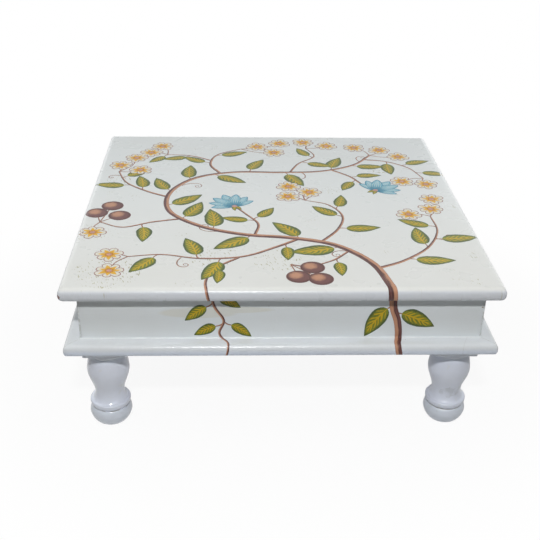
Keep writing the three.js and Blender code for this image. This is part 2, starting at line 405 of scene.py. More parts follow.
def new_object(name, vertices, faces, material=None, sharp=35):
    """A smooth mesh object whose edges stay sharp past an angle in degrees"""
    mesh = bpy.data.meshes.new(name)
    mesh.from_pydata([tuple(point) for point in vertices], [], faces)
    made = bpy.data.objects.new(name, mesh)
    bpy.context.scene.collection.objects.link(made)
    if material:
        mesh.materials.append(material)
    smooth(mesh, sharp)
    return made


def smooth(mesh, sharp):
    mesh.shade_smooth()
    mesh.set_sharp_from_angle(angle=math.radians(sharp))
    mesh.update()


def loft(rings):
    """Vertices and faces of a closed body through rings that run anticlockwise, seen from the last one"""
    count = len(rings[0])
    vertices = [point for ring in rings for point in ring]
    faces = [tuple(reversed(range(count)))]
    for level in range(len(rings) - 1):
        low = level * count
        for here in range(count):
            there = (here + 1) % count
            faces.append((low + here, low + there, low + count + there, low + count + here))
    last = (len(rings) - 1) * count
    faces.append(tuple(range(last, last + count)))
    return vertices, faces


def apply_modifiers(piece):
    bpy.context.view_layer.update()
    graph = bpy.context.evaluated_depsgraph_get()
    mesh = bpy.data.meshes.new_from_object(piece.evaluated_get(graph), depsgraph=graph)
    piece.modifiers.clear()
    old = piece.data
    piece.data = mesh
    bpy.data.meshes.remove(old)
    mesh.name = piece.name


def outward(piece):
    """Turns the faces of a closed mesh outwards."""
    shape = bmesh.new()
    shape.from_mesh(piece.data)
    bmesh.ops.recalc_face_normals(shape, faces=shape.faces)
    shape.to_mesh(piece.data)
    shape.free()


def hand_over(piece, slot, *nodes):
    """Fixes a finished piece to the table's body."""
    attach(piece, BODY)
    if nodes:
        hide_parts(*nodes)


def turned_points(points, side):
    """Points of the front side, turned to another side"""
    turn = Matrix.Rotation(SIDES.index(side) * math.pi / 2, 3, "Z")
    return [turn @ Vector(point) for point in points]


def rounded_square(half, radius, height, steps=6):
    """A square ring with round corners, anticlockwise from above"""
    points = []
    reach = half - radius
    for corner in range(4):
        middle = math.pi / 4 + corner * math.pi / 2
        across, along = (math.copysign(reach, part) for part in (math.cos(middle), math.sin(middle)))
        centre = Vector((across, along, height))
        for step in range(steps + 1):
            angle = middle - math.pi / 4 + step / steps * math.pi / 2
            points.append(centre + Vector((math.cos(angle), math.sin(angle), 0)) * radius)
    return points


def fullness(angle):
    """How far a nose stands out from a half round, at an angle from straight up"""
    power = sizes().nose_power
    return (abs(math.sin(angle)) ** power + abs(math.cos(angle)) ** power) ** (-1 / power)


def nose_outline(inset, nose, low, high, steps=18):
    """Inset and height pairs round a nosed edge, from its lower flat to its upper one"""
    middle = low + nose
    pairs = []
    for step in range(steps + 1):
        angle = math.pi * (1 - step / steps)
        rise = math.cos(angle) * fullness(angle)
        level = middle + rise * (high - middle if rise > 0 else middle - low)
        pairs.append((inset + (nose - inset) * (1 - math.sin(angle) * fullness(angle)), level))
    return pairs


class BAJOT_OT_top(BajotOperator):
    """Makes the top board with its half-round edge"""

    bl_idname = "bajot.top"
    bl_label = "Top Board"

    def execute(self, context):
        room = sizes().paint_room
        outline = nose_outline(room, NOSE, TOP_LOW.z, TOP_HIGH.z - room, TOP_NOSE_STEPS)
        rings = [rounded_square(HALF - inset, sizes().top_corner, level) for inset, level in outline]
        enamel = finished("Enamel on the top", top_enamel, gloss=0.4)
        board = new_object("top_board_enamelled", *loft(rings), enamel)
        hand_over(board, "painted_wood", "top_board")
        return {"FINISHED"}


class BAJOT_OT_aprons(BajotOperator):
    """Makes the four boards of the box with their eased edges"""

    bl_idname = "bajot.aprons"
    bl_label = "Aprons"

    def execute(self, context):
        gap = sizes().joint_gap / 2
        back = APRON_REACH - sizes().joint_return
        inner = (BOX_REACH - gap, -BOX_REACH)
        for side in SIDES:
            if side in LONG_SIDES:
                end = [(back - gap, -APRON_REACH), inner]
            else:
                end = [(APRON_REACH, -APRON_REACH), (APRON_REACH, -back - gap), inner]
            plan = end + [(-x, y) for x, y in reversed(end)]
            levels = (MOULDING_HIGH.z + gap / 2, APRON_HIGH.z)
            rings = [turned_points([(x, y, level) for x, y in plan], side) for level in levels]
            enamel = finished(f"Enamel on the {side} apron", apron_enamel, side)
            board = new_object(f"apron_{side}_enamelled", *loft(rings), enamel, sharp=25)
            ease(board)
            hand_over(board, "painted_wood", f"apron_{side}")
        return {"FINISHED"}


class BAJOT_OT_beads(BajotOperator):
    """Makes the uneven beads of enamel that fill the joint between the box and the moulding"""

    bl_idname = "bajot.beads"
    bl_label = "Joint Beads"

    def execute(self, context):
        chance = random.Random(BEAD_SEED)
        enamel = finished("Enamel in the joint", bead_enamel)
        for side in SIDES:
            rings = []
            for step in range(BEAD_STEPS + 1):
                along = (step / BEAD_STEPS * 2 - 1) * APRON_REACH
                radius = sizes().bead * chance.uniform(0.85, 1.15)
                ring = []
                for corner in range(BEAD_CORNERS):
                    angle = math.tau * corner / BEAD_CORNERS
                    out = APRON_REACH + radius * math.cos(angle)
                    ring.append((along, -out, MOULDING_HIGH.z + radius * math.sin(angle)))
                rings.append(turned_points(ring, side))
            bead = new_object(f"joint_bead_{side}", *loft(rings), enamel)
            outward(bead)
            smooth(bead.data, 60)
            hand_over(bead, "painted_wood")
        return {"FINISHED"}


def ease(piece):
    """Eases the sharp edges of a piece."""
    bevel = piece.modifiers.new("Eased edges", "BEVEL")
    bevel.width = sizes().ease
    bevel.segments = 3
    bevel.limit_method = "ANGLE"
    bevel.angle_limit = math.radians(30)
    bevel.harden_normals = False


class BAJOT_OT_mouldings(BajotOperator):
    """Makes the four mitred strips of the base moulding"""

    bl_idname = "bajot.mouldings"
    bl_label = "Base Moulding"

    def execute(self, context):
        room = sizes().paint_room
        low, high = MOULDING_LOW.z, MOULDING_HIGH.z
        outline = nose_outline(room, MOULDING_NOSE, low, high, MOULDING_NOSE_STEPS)
        eased = sizes().ease
        outline += [
            (MOULDING_STRIP - eased, high),
            (MOULDING_STRIP, high - eased),
            (MOULDING_STRIP, low + eased),
            (MOULDING_STRIP - eased, low),
        ]
        sections = self.sections(outline)
        for side in SIDES:
            rings = [turned_points(section, side) for section in sections]
            gloss = 0.5 if side == "front" else 0.25
            enamel = finished(f"Enamel on the {side} moulding", moulding_enamel, side, gloss=gloss)
            strip = new_object(f"moulding_{side}_enamelled", *loft(rings), enamel)
            outward(strip)
            countersink(strip, side)
            smooth(strip.data, 40)
            hand_over(strip, "painted_wood", f"moulding_{side}")
        return {"FINISHED"}

    def sections(self, outline):
        """Outlines across the strip from the left mitre to the right one"""
        least = sizes().ease
        corner = sizes().moulding_corner
        gap = sizes().joint_gap / 2
        ends = []
        for step in range(MITRE_STEPS + 1):
            turn = -math.pi / 4 - step / MITRE_STEPS * math.pi / 4
            section = []
            for inset, level in outline:
                radius = max(corner - inset, least)
                centre = HALF - inset - radius
                across = centre + radius * math.cos(turn) - gap
                section.append((across, -centre + radius * math.sin(turn), level))
            ends.append(section)
        left = [[(-x, y, z) for x, y, z in section] for section in ends]
        return left + list(reversed(ends))


def lower_middle(node):
    """The middle of a node's lower face, and the node's height"""
    low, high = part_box(node)
    return Vector(((low.x + high.x) / 2, (low.y + high.y) / 2, low.z)), high.z - low.z


def circle(centre, radius, height, steps=24):
    turns = [math.tau * step / steps for step in range(steps)]
    return [Vector((centre.x + radius * math.cos(a), centre.y + radius * math.sin(a), height)) for a in turns]


def countersink(strip, side):
    """Cuts the screws' countersunk bores."""
    head = (SCREW_HIGH.x - SCREW_LOW.x) / 2 + 3 * sizes().joint_gap
    shank, past = head / 2, 1 * MM
    levels = ((head, -past), (head, 0), (shank, head * HEAD_SHARE), (shank, MOULDING_THICKNESS + past))
    vertices, faces = [], []
    for number in (1, 2):
        place, _ = lower_middle(f"moulding_screw_{side}_{number}")
        rings = [circle(place, radius, place.z + level) for radius, level in levels]
        more_vertices, more_faces = loft(rings)
        faces += [tuple(index + len(vertices) for index in face) for face in more_faces]
        vertices += more_vertices
    cutter = new_object("countersinks", vertices, faces)
    cut = strip.modifiers.new("Countersinks", "BOOLEAN")
    cut.operation = "DIFFERENCE"
    cut.solver = "EXACT"
    cut.object = cutter
    apply_modifiers(strip)
    bpy.data.objects.remove(cutter)


def way_between(first, last, out, up):
    """A radius and height pair that lies between two others, by a share for each number"""
    return first[0] + (last[0] - first[0]) * out, first[1] + (last[1] - first[1]) * up


def quarter(first, last, leaves_level, steps=9):
    """A quarter of an ellipse between two pairs"""
    pairs = []
    for step in range(1, steps + 1):
        angle = math.pi / 2 * step / steps
        fast, slow = math.sin(angle), 1 - math.cos(angle)
        pairs.append(way_between(first, last, *((fast, slow) if leaves_level else (slow, fast))))
    return pairs


def flattened(pairs, first, share):
    """Pulls the pairs of a curve a share of the way towards the straight line between its ends."""
    pulled = []
    for number, pair in enumerate(pairs, 1):
        way = number / len(pairs)
        pulled.append(way_between(pair, way_between(first, pairs[-1], way, way), share, share))
    return pulled


def wave(first, last, steps=20):
    """Half a wave between two pairs"""
    shares = [step / steps for step in range(1, steps + 1)]
    return [way_between(first, last, (1 - math.cos(math.pi * share)) / 2, share) for share in shares]


def foot_outline():
    """Radius and height pairs of the turned part, from the sole to the collar's top"""
    foot = bpy.context.scene.bajot_foot
    sole = (foot.sole_radius, 0)
    bun = (foot.bun_radius, foot.bun_rise)
    groove = (foot.groove_radius, bun[1] + foot.shoulder_rise)
    rim = (foot.rim_radius, groove[1] + foot.rim_rise)
    rim_side = (rim[0], rim[1] - foot.rim_ease)
    rim_top = (rim[0] - foot.rim_ease, rim[1])
    neck = (foot.neck_radius, rim[1] + foot.cove_rise)
    vase = (foot.vase_radius, neck[1] + foot.vase_rise)
    collar_low = (foot.collar_groove, vase[1] + foot.vase_shoulder)
    collar = (foot.collar_radius, collar_low[1] + foot.collar_height / 2)
    collar_top = (foot.collar_groove, collar_low[1] + foot.collar_height)
    return [
        sole,
        *flattened(quarter(sole, bun, True, 12), sole, 0.4),
        *quarter(bun, groove, False),
        *quarter(groove, rim_side, True),
        *quarter(rim_side, rim_top, False, 4),
        *quarter(rim_top, neck, True),
        *wave(neck, vase),
        *flattened(quarter(vase, collar_low, False), vase, 0.5),
        *quarter(collar_low, collar, True, 5),
        *quarter(collar, collar_top, False, 5),
    ]


def squared(centre, half, radius, level, count):
    """A square ring with round corners whose points lie in even directions"""
    points = []
    for step in range(count):
        angle = math.tau * step / count
        across, along = math.cos(angle), math.sin(angle)
        big, small = max(abs(across), abs(along)), min(abs(across), abs(along))
        reach = half / big
        straight = half - radius
        if reach * small > straight:
            # Where the ray meets the round corner
            middle = straight * (big + small)
            reach = middle + math.sqrt(max(middle * middle - 2 * straight * straight + radius * radius, 0))
        points.append(Vector((centre.x + reach * across, centre.y + reach * along, level)))
    return points


class BAJOT_OT_feet(BajotOperator):
    """Makes the four turned feet with their square heads and tenons"""

    bl_idname = "bajot.feet"
    bl_label = "Feet"

    def execute(self, context):
        foot = context.scene.bajot_foot
        eased = sizes().ease
        outline = foot_outline()
        neck = outline[-1][1]
        head = neck + foot.head_height
        half = foot.head_side / 2
        head_rings = (
            (half - eased, eased, neck),
            (half, 2 * eased, neck + eased),
            (half, 2 * eased, head - eased),
            (half - eased, eased, head),
        )
        tenon = ((foot.tenon_radius, head), (foot.tenon_radius, FOOT_HIGH.z - eased))
        tenon += ((foot.tenon_radius - eased, FOOT_HIGH.z),)
        enamel = finished("Enamel on the feet", foot_enamel, foot, gloss=0.9)
        for name in CORNERS:
            low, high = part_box(f"foot_{name}")
            centre = (low + high) / 2
            rings = [circle(centre, *ring, FOOT_STEPS) for ring in outline]
            rings += [squared(centre, *ring, FOOT_STEPS) for ring in head_rings]
            rings += [circle(centre, *ring, FOOT_STEPS) for ring in tenon]
            piece = new_object(f"foot_{name}_enamelled", *loft(rings), enamel, sharp=42)
            hand_over(piece, "painted_wood", f"foot_{name}")
        return {"FINISHED"}


class BAJOT_OT_blocks(BajotOperator):
    """Finishes the battens and blocks inside the box"""

    bl_idname = "bajot.blocks"
    bl_label = "Battens and Blocks"

    def execute(self, context):
        woods = {
            axis: finished(f"Bare wood along {axis}", bare_wood, grain, relief=WOOD_RELIEF)
            for axis, grain in GRAINS.items()
        }
        for name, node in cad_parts.items():
            axis = next((axis for start, axis in BLOCK_RUNS.items() if name.startswith(start)), None)
            if axis:
                node.data.materials.clear()
                node.data.materials.append(woods[axis])
                node.modifiers.new("Joined corners", "WELD").merge_threshold = 0.01 * MM
                ease(node)
        return {"FINISHED"}


class BAJOT_OT_screws(BajotOperator):
    """Makes the slotted wood screws"""

    bl_idname = "bajot.screws"
    bl_label = "Screws"

    def execute(self, context):
        names = sorted(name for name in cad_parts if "screw" in name)
        places, lengths = zip(*(lower_middle(name) for name in names))
        screws = new_object("wood_screws", places, [])
        add_numbers(screws, "length", lengths)
        add_numbers(screws, "turn", [index * SLOT_TURN for index in range(len(names))])
        values = {
            "Head radius": (SCREW_HIGH.x - SCREW_LOW.x) / 2,
            "Slot width": sizes().slot_width,
            "Slot depth": sizes().slot_depth,
            "Material": finished("Dull steel", dull_steel),
        }
        run_nodes(screws, "Wood screws", slotted_screws, values)
        smooth(screws.data, 35)
        hand_over(screws, "steel", *names)
        return {"FINISHED"}


def add_numbers(piece, name, values):
    """Stores one number for each point of a mesh."""
    layer = piece.data.attributes.new(name, "FLOAT", "POINT")
    layer.data.foreach_set("value", values)


SOCKET_KINDS = {int: "NodeSocketInt", float: "NodeSocketFloat", bpy.types.Material: "NodeSocketMaterial"}


def run_nodes(piece, title, shape, values):
    """Runs on a piece the geometry tree that shape writes, and keeps the plain mesh. The values are those of
    the tree's inputs, which shape gets by their names."""
    tree = bpy.data.node_groups.new(title, "GeometryNodeTree")
    for way in ("INPUT", "OUTPUT"):
        tree.interface.new_socket("Geometry", in_out=way, socket_type="NodeSocketGeometry")
    inputs = {}
    for label, value in values.items():
        socket = tree.interface.new_socket(label, in_out="INPUT", socket_type=SOCKET_KINDS[type(value)])
        inputs[socket.identifier] = value
    net = Net(tree)
    entry = tree.nodes.new("NodeGroupInput")
    wire = {socket.name: Wire(net, socket) for socket in entry.outputs if socket.name}
    real = net.node("GeometryNodeRealizeInstances", {"Geometry": shape(net, wire)})
    coated = net.node("GeometryNodeSetMaterial", {"Geometry": real, "Material": wire["Material"]})
    net.give(tree.nodes.new("NodeGroupOutput").inputs[0], coated)
    modifier = piece.modifiers.new(title, "NODES")
    modifier.node_group = tree
    for identifier, value in inputs.items():
        modifier[identifier] = value
    apply_modifiers(piece)


def named(net, name, kind="FLOAT"):
    return net.node("GeometryNodeInputNamedAttribute", {"Name": name}, "Attribute", data_type=kind)


def stored(net, shape, name, value, kind="FLOAT"):
    sockets = {"Geometry": shape, "Name": name, "Value": value}
    return net.node("GeometryNodeStoreNamedAttribute", sockets, data_type=kind, domain="POINT")


def copied(net, points, shape, **more):
    """A real copy of a shape on each point"""
    copies = net.node("GeometryNodeInstanceOnPoints", {"Points": points, "Instance": shape, **more})
    return net.node("GeometryNodeRealizeInstances", {"Geometry": copies})


def moved(net, shape, x, y, z):
    """A shape whose points stand at new places"""
    return net.node("GeometryNodeSetPosition", {"Geometry": shape, "Position": net.joined(x, y, z)})


def slotted_screws(net, wire):
    """A countersunk screw with a slotted head on each point. The head's face looks down."""
    levels = 6
    place = net.node("GeometryNodeInputPosition")
    rod = {"Vertices": 24, "Side Segments": levels, "Radius": 1.0, "Depth": 1.0}
    blank = stored(net, net.node("GeometryNodeMeshCylinder", rod, "Mesh"), "local", place, "FLOAT_VECTOR")
    blanks = copied(net, stored(net, wire["Geometry"], "root", place, "FLOAT_VECTOR"), blank)
    x, y, z = net.parts(named(net, "local", "FLOAT_VECTOR"))
    root_x, root_y, root_z = net.parts(named(net, "root", "FLOAT_VECTOR"))
    head = wire["Head radius"]
    shank = head / 2
    head_height = head * HEAD_SHARE
    level = (z + 0.5) * levels
    in_head = net.maths("MINIMUM", level, 1.0)
    above = net.most(level - 1, 0.0) / (levels - 1)
    in_tip = net.most(level - (levels - 1), 0.0)
    radius = head - (head - shank) * in_head - shank * 0.8 * in_tip
    height = head_height * in_head + (named(net, "length") - head_height) * above
    screws = moved(net, blanks, root_x + x * radius, root_y + y * radius, root_z + height)
    bar = net.joined(head * 2.5, wire["Slot width"], wire["Slot depth"] * 2)
    cutter = net.node("GeometryNodeMeshCube", {"Size": bar}, "Mesh")
    turn = net.joined(0.0, 0.0, named(net, "turn"))
    both = {0: screws, 1: copied(net, wire["Geometry"], cutter, Rotation=turn)}
    return net.node("GeometryNodeMeshBoolean", both, operation="DIFFERENCE", solver="EXACT")


# The painted creeper. Places on the top are shares of its half side, to the right and to the back, and
# places on the front are shares too, to the right and down from the top of the apron.

# How far towards the front the apron's upper edge lies on the flat sheet, in metres
SIDE_SHIFT = 1.0

TENDRIL_TURNS = 1.6
TENDRIL_STEPS = 44
ROSETTE_DOTS = 8

# Widths of fine lines at their start and their end
TENDRIL_WIDTHS = mm(1.5, 0.7)
TWIG_WIDTHS = mm(1.7, 1.1)
BERRY_TWIG_WIDTHS = mm(1.6, 1.2)

# Films of paint that each kind of stroke stands on
THICK_COAT, STEM_COAT, TWIG_COAT, TENDRIL_COAT = 1.0, 0.4, 0.3, 0.2
LEAF_COAT, SEPAL_COAT, LOTUS_COAT, PETAL_COAT, BERRY_COAT = 1.6, 1.9, 2.0, 2.2, 2.2
CENTRE_COAT, DOT_COAT, LOTUS_CENTRE_COAT = 3.6, 3.9, 4.4

# Sizes of round marks, and how much longer and wider a petal's outline is than the petal
CENTRE_WIDE, DOT_WIDE, LOTUS_CENTRE_WIDE, BERRY_LINE = mm(5.6, 1.0, 6.5, 1)
PETAL_LINE = mm(0.8, 1.5)
LOTUS_LINE = mm(0.9, 1.5)
SEPAL_SIZE = mm(13, 6)

# Millimetres from a rosette's middle to the ring of dots
DOT_RING = 3.9

# Petals of a lotus: the way that each faces off the flower's own in degrees, size share
LOTUS_FAN = ((0, 1.0), (-66, 0.74), (66, 0.74), (-44, 0.86), (44, 0.86), (-22, 0.95), (22, 0.95))

# Stem name: panel, width at the start and the end in millimetres, places
STEM_SHARES = {
    "main": ("top", 9.5, 3.4, (
        (0.49, -1.072), (0.475, -0.95), (0.42, -0.74), (0.27, -0.56), (0.06, -0.48), (-0.18, -0.44),
        (-0.40, -0.34), (-0.56, -0.16), (-0.57, 0.08), (-0.44, 0.29), (-0.22, 0.38), (0.04, 0.38),
        (0.28, 0.40), (0.48, 0.50), (0.60, 0.66),
    )),
    "front_left": ("top", 4.6, 2.0, (
        (0.10, -0.487), (-0.02, -0.58), (-0.18, -0.68), (-0.38, -0.70), (-0.56, -0.66), (-0.72, -0.68),
    )),
    "over_front": ("top", 3.4, 3.0, ((-0.20, -0.69), (-0.31, -0.80), (-0.35, -0.93), (-0.33, -1.072))),
    "right": ("top", 4.6, 1.8, (
        (0.44, -0.80), (0.58, -0.72), (0.72, -0.58), (0.80, -0.40), (0.80, -0.22),
    )),
    "inner": ("top", 4.0, 1.6, (
        (0.20, -0.53), (0.30, -0.38), (0.34, -0.22), (0.28, -0.08), (0.16, -0.02),
    )),
    "right_front": ("top", 3.0, 2.0, ((0.33, -0.62), (0.24, -0.72), (0.12, -0.78), (0.04, -0.76))),
    "lotus_left": ("top", 3.6, 2.4, ((-0.12, -0.45), (-0.10, -0.32), (-0.16, -0.20), (-0.22, -0.10))),
    "lotus_right": ("top", 3.6, 2.4, ((0.34, 0.425), (0.44, 0.32), (0.50, 0.20), (0.56, 0.12))),
    "left": ("top", 4.2, 1.8, ((-0.578, 0.02), (-0.70, 0.10), (-0.82, 0.22), (-0.88, 0.38))),
    "left_front": ("top", 3.8, 2.0, ((-0.50, -0.26), (-0.64, -0.30), (-0.78, -0.36), (-0.90, -0.30))),
    "back": ("top", 4.2, 1.8, ((-0.30, 0.36), (-0.36, 0.50), (-0.32, 0.66), (-0.18, 0.76))),
    "back_side": ("top", 3.2, 1.6, ((0.55, 0.59), (0.68, 0.56), (0.80, 0.46), (0.86, 0.30))),
    "back_left": ("top", 3.0, 1.6, ((-0.35, 0.56), (-0.48, 0.64), (-0.62, 0.66))),
    "back_right": ("top", 3.0, 1.6, ((0.10, 0.38), (0.16, 0.52), (0.26, 0.64), (0.22, 0.78))),
    "front_thick": ("side", 8.6, 6.4, (
        (0.50, -0.02), (0.505, 0.06), (0.53, 0.14), (0.54, 0.22), (0.53, 0.28), (0.545, 0.36),
    )),
    "front_thin": ("side", 3.2, 2.2, (
        (-0.33, -0.02), (-0.31, 0.06), (-0.27, 0.13), (-0.29, 0.20), (-0.25, 0.27), (-0.26, 0.355),
    )),
}

# Leaves on a stem: share of the way along it, side (1 is to the left of its run), size share
LEAF_SHARES = {
    "main": (
        (0.17, 1, 1.0), (0.235, -1, 0.9), (0.31, 1, 0.95), (0.375, -1, 0.95), (0.44, -1, 0.9),
        (0.50, -1, 0.9), (0.56, 1, 0.8), (0.62, 1, 0.85), (0.67, -1, 0.85), (0.735, 1, 0.8),
        (0.80, -1, 0.85), (0.885, 1, 0.8), (0.93, -1, 0.75),
    ),
    "front_left": ((0.10, 1, 0.62), (0.50, 1, 0.85), (0.62, -1, 0.85), (0.84, 1, 0.8)),
    "over_front": ((0.30, 1, 0.55),),
    "right_front": ((0.30, 1, 0.6),),
    "back_side": ((0.30, -1, 0.75), (0.52, 1, 0.7), (0.80, 1, 0.7)),
    "right": ((0.25, -1, 0.85), (0.48, 1, 0.85), (0.62, -1, 0.85), (0.82, 1, 0.75)),
    "inner": ((0.30, -1, 0.8), (0.52, 1, 0.75), (0.68, -1, 0.7)),
    "lotus_left": ((0.45, 1, 0.65), (0.50, -1, 0.65)),
    "lotus_right": ((0.40, 1, 0.65), (0.52, -1, 0.65)),
    "left": ((0.35, -1, 0.75), (0.55, 1, 0.75), (0.80, -1, 0.7)),
    "left_front": ((0.45, 1, 0.75),),
    "back": ((0.35, 1, 0.7), (0.60, -1, 0.75)),
    "back_left": ((0.50, 1, 0.65), (0.98, 1, 0.6)),
    "back_right": ((0.40, -1, 0.7), (0.62, 1, 0.65)),
    "front_thick": ((0.26, 1, 0.78), (0.15, -1, 0.8)),
    "front_thin": ((0.04, 1, 0.5), (0.14, -1, 0.55), (0.42, 1, 0.5), (0.44, -1, 0.5)),
}

# Rosettes about the end of a stem: steps right and back from it
ROSETTE_SHARES = {
    "main": ((0.07, 0.09), (-0.08, 0.13), (0.17, -0.02)),
    "front_left": ((-0.09, 0.02), (-0.07, -0.14)),
    "right": ((0.02, 0.09), (-0.11, 0.02), (0.05, 0.22)),
    "inner": ((-0.09, 0.05), (0.03, 0.11), (-0.08, 0.19)),
    "left": ((0.0, 0.10), (0.12, 0.03), (0.08, 0.22)),
    "back": ((0.10, 0.04), (0.20, -0.06), (0.24, 0.10)),
    "back_left": ((-0.10, 0.03), (-0.04, 0.14)),
    "back_right": ((-0.01, 0.10), (0.13, 0.04)),
    "back_side": ((0.0, -0.09), (-0.13, -0.05)),
    "left_front": ((-0.02, -0.12),),
}

# Berries about the end of a stem, and the two lotus flowers with the way that they face in degrees
BERRY_SHARES = {
    "left_front": ((-0.03, 0.11), (0.09, 0.08), (0.04, 0.20)),
    "right_front": ((0.10, -0.03), (0.03, -0.12), (0.13, -0.14)),
}
LOTUS_TURNS = {"lotus_left": 112, "lotus_right": 52}

# Curled tendrils: place, the way that they leave in degrees, the hand of the curl, size share
TENDRIL_SHARES = (
    (0.35, -0.64, 150, 1, 0.9), (-0.29, -0.405, 190, -1, 1.0), (-0.51, 0.18, 40, -1, 0.9),
    (0.165, 0.385, -60, -1, 0.9), (0.77, -0.48, -30, 1, 0.8), (-0.47, -0.69, -120, 1, 0.8),
    (0.53, 0.55, 120, -1, 0.8), (-0.86, 0.32, 160, 1, 0.6),
)


def smooth_path(points, steps=14):
    """Points on a smooth curve through the given ones"""
    ends = [points[0] * 2 - points[1], *points, points[-1] * 2 - points[-2]]
    path = []
    for index in range(len(points) - 1):
        before, start, end, after = ends[index : index + 4]
        for step in range(steps):
            t = step / steps
            slope = end - before
            bow = before * 2 - start * 5 + end * 4 - after
            twist = start * 3 - before - end * 3 + after
            path.append((start * 2 + slope * t + bow * t**2 + twist * t**3) / 2)
    return [*path, points[-1]]


def panel_point(panel, right, away):
    """A place on a panel of the flat sheet that the painting is laid out on"""
    if panel == "top":
        return Vector((right * HALF, away * HALF, 0))
    return Vector((right * HALF, -SIDE_SHIFT - away * HALF, 0))


def stem_path(name):
    panel, _, _, shares = STEM_SHARES[name]
    return smooth_path([panel_point(panel, *share) for share in shares])


def along_path(path, share):
    """The place and the direction at a share of a path's length"""
    gaps = [(end - start).length for start, end in zip(path, path[1:])]
    left = share * sum(gaps)
    for start, end, gap in zip(path, path[1:], gaps):
        if left <= gap:
            return start.lerp(end, left / gap), (end - start).normalized()
        left -= gap
    return path[-1], (path[-1] - path[-2]).normalized()


def direction(angle):
    return Vector((math.cos(angle), math.sin(angle), 0))


class Brush:
    """Collects the strokes of the painting before they are made into meshes."""

    def __init__(self):
        self.lines = []
        self.marks = {}

    def line(self, path, start, end, coat):
        """A stem from one width to another"""
        self.lines.append((path, start, end, coat))

    def mark(self, kind, place, turn, long, wide, bend, coat):
        """A mark of a kind with its root at a place"""
        self.marks.setdefault(kind, []).append((place, turn, long, wide, bend, coat))


def draw_stems(brush):
    for name, (_, start, end, _) in STEM_SHARES.items():
        thick = name in ("main", "front_thick")
        brush.line(stem_path(name), start * MM, end * MM, THICK_COAT if thick else STEM_COAT)
    for right, away, leave, hand, share in TENDRIL_SHARES:
        curl = tendril(panel_point("top", right, away), math.radians(leave), hand, share)
        brush.line(curl, *TENDRIL_WIDTHS, TENDRIL_COAT)


def tendril(start, leave, hand, share):
    """A curl that winds up"""
    path = [start]
    stride = 2.0 * MM * share
    heading = leave
    for step in range(TENDRIL_STEPS):
        way = step / TENDRIL_STEPS
        path.append(path[-1] + direction(heading) * stride * (1 - 0.72 * way))
        heading += hand * math.tau * TENDRIL_TURNS / TENDRIL_STEPS * (0.15 + 1.7 * way)
    return path


def draw_leaves(brush):
    sheet = painting()
    number = 0
    for name, leaves in LEAF_SHARES.items():
        path = stem_path(name)
        for share, side, size in leaves:
            place, ahead = along_path(path, share)
            lean = math.radians(56 + 14 * math.sin(5.1 * number))
            leave = math.atan2(ahead.y, ahead.x) + side * lean
            stalk_end = place + direction(leave) * (sheet.stalk + 2 * MM)
            middle = place.lerp(stalk_end, 0.5) + direction(leave - side * math.pi / 2) * 0.8 * MM
            stalk = smooth_path([place, middle, stalk_end], 4)
            brush.line(stalk, sheet.stalk_width * 1.3, sheet.stalk_width, TWIG_COAT)
            long = sheet.leaf_length * size
            bend = -side * (0.16 + 0.05 * math.sin(2.3 * number))
            turn = leave + side * 0.12
            coat = LEAF_COAT + 0.3 * (number % 2)
            brush.mark("leaf", stalk_end, turn, long, sheet.leaf_width * size, bend, coat)
            number += 1


def draw_rosettes(brush):
    sheet = painting()
    number = 0
    for name, steps in ROSETTE_SHARES.items():
        end = stem_path(name)[-1]
        for right, away in steps:
            middle = end + Vector((right, away, 0)) * HALF
            bow = (middle - end).cross(Vector((0, 0, 1))) * 0.12
            twig = smooth_path([end, end.lerp(middle, 0.5) + bow, middle], 6)
            brush.line(twig, *TWIG_WIDTHS, TWIG_COAT)
            draw_rosette(brush, sheet, middle, number)
            number += 1


def draw_rosette(brush, sheet, middle, number):
    """Round flower: outlined petals, a heart in each and a dotted centre"""
    first = 0.7 * number
    for petal in range(sheet.petals):
        turn = first + math.tau * petal / sheet.petals
        coat = PETAL_COAT + 0.5 * (petal % 2) + (0.25 if petal == sheet.petals - 1 else 0)
        size = 1 + 0.07 * math.sin(3.7 * petal + number)
        long, wide = sheet.petal_length * size, sheet.petal_width * size
        start = middle + direction(turn) * 1 * MM
        brush.mark("outline", start, turn, long + PETAL_LINE[0], wide + PETAL_LINE[1], 0.0, coat)
        brush.mark("petal", start, turn, long, wide, 0.0, coat + 0.2)
        brush.mark("heart", start, turn, long * 0.82, wide * 0.62, 0.05 * math.sin(petal), coat + 0.45)
    round_mark(brush, "centre", middle, CENTRE_WIDE, CENTRE_COAT)
    for dot in range(ROSETTE_DOTS):
        angle = first + math.tau * dot / ROSETTE_DOTS
        round_mark(brush, "dot", middle + direction(angle) * DOT_RING * MM, DOT_WIDE, DOT_COAT)


def round_mark(brush, kind, middle, wide, coat):
    brush.mark(kind, middle - Vector((wide / 2, 0, 0)), 0.0, wide, wide, 0.0, coat)


def draw_lotuses(brush):
    sheet = painting()
    for name, facing in LOTUS_TURNS.items():
        root = stem_path(name)[-1]
        for number, (spread, size) in enumerate(LOTUS_FAN):
            turn = math.radians(facing + spread)
            long, wide = sheet.lotus_length * size, sheet.lotus_width * size
            bend = math.radians(spread) * 0.16
            coat = LOTUS_COAT + 0.3 * number
            line_long, line_wide = long + LOTUS_LINE[0], wide + LOTUS_LINE[1]
            brush.mark("lotus_outline", root, turn, line_long, line_wide, bend, coat)
            brush.mark("lotus", root, turn, long, wide, bend, coat + 0.15)
        round_mark(brush, "centre", root, LOTUS_CENTRE_WIDE, LOTUS_CENTRE_COAT)
        for spread in (-150, 150):
            turn = math.radians(facing + spread)
            brush.mark("leaf", root, turn, *SEPAL_SIZE, math.copysign(0.2, spread), SEPAL_COAT)


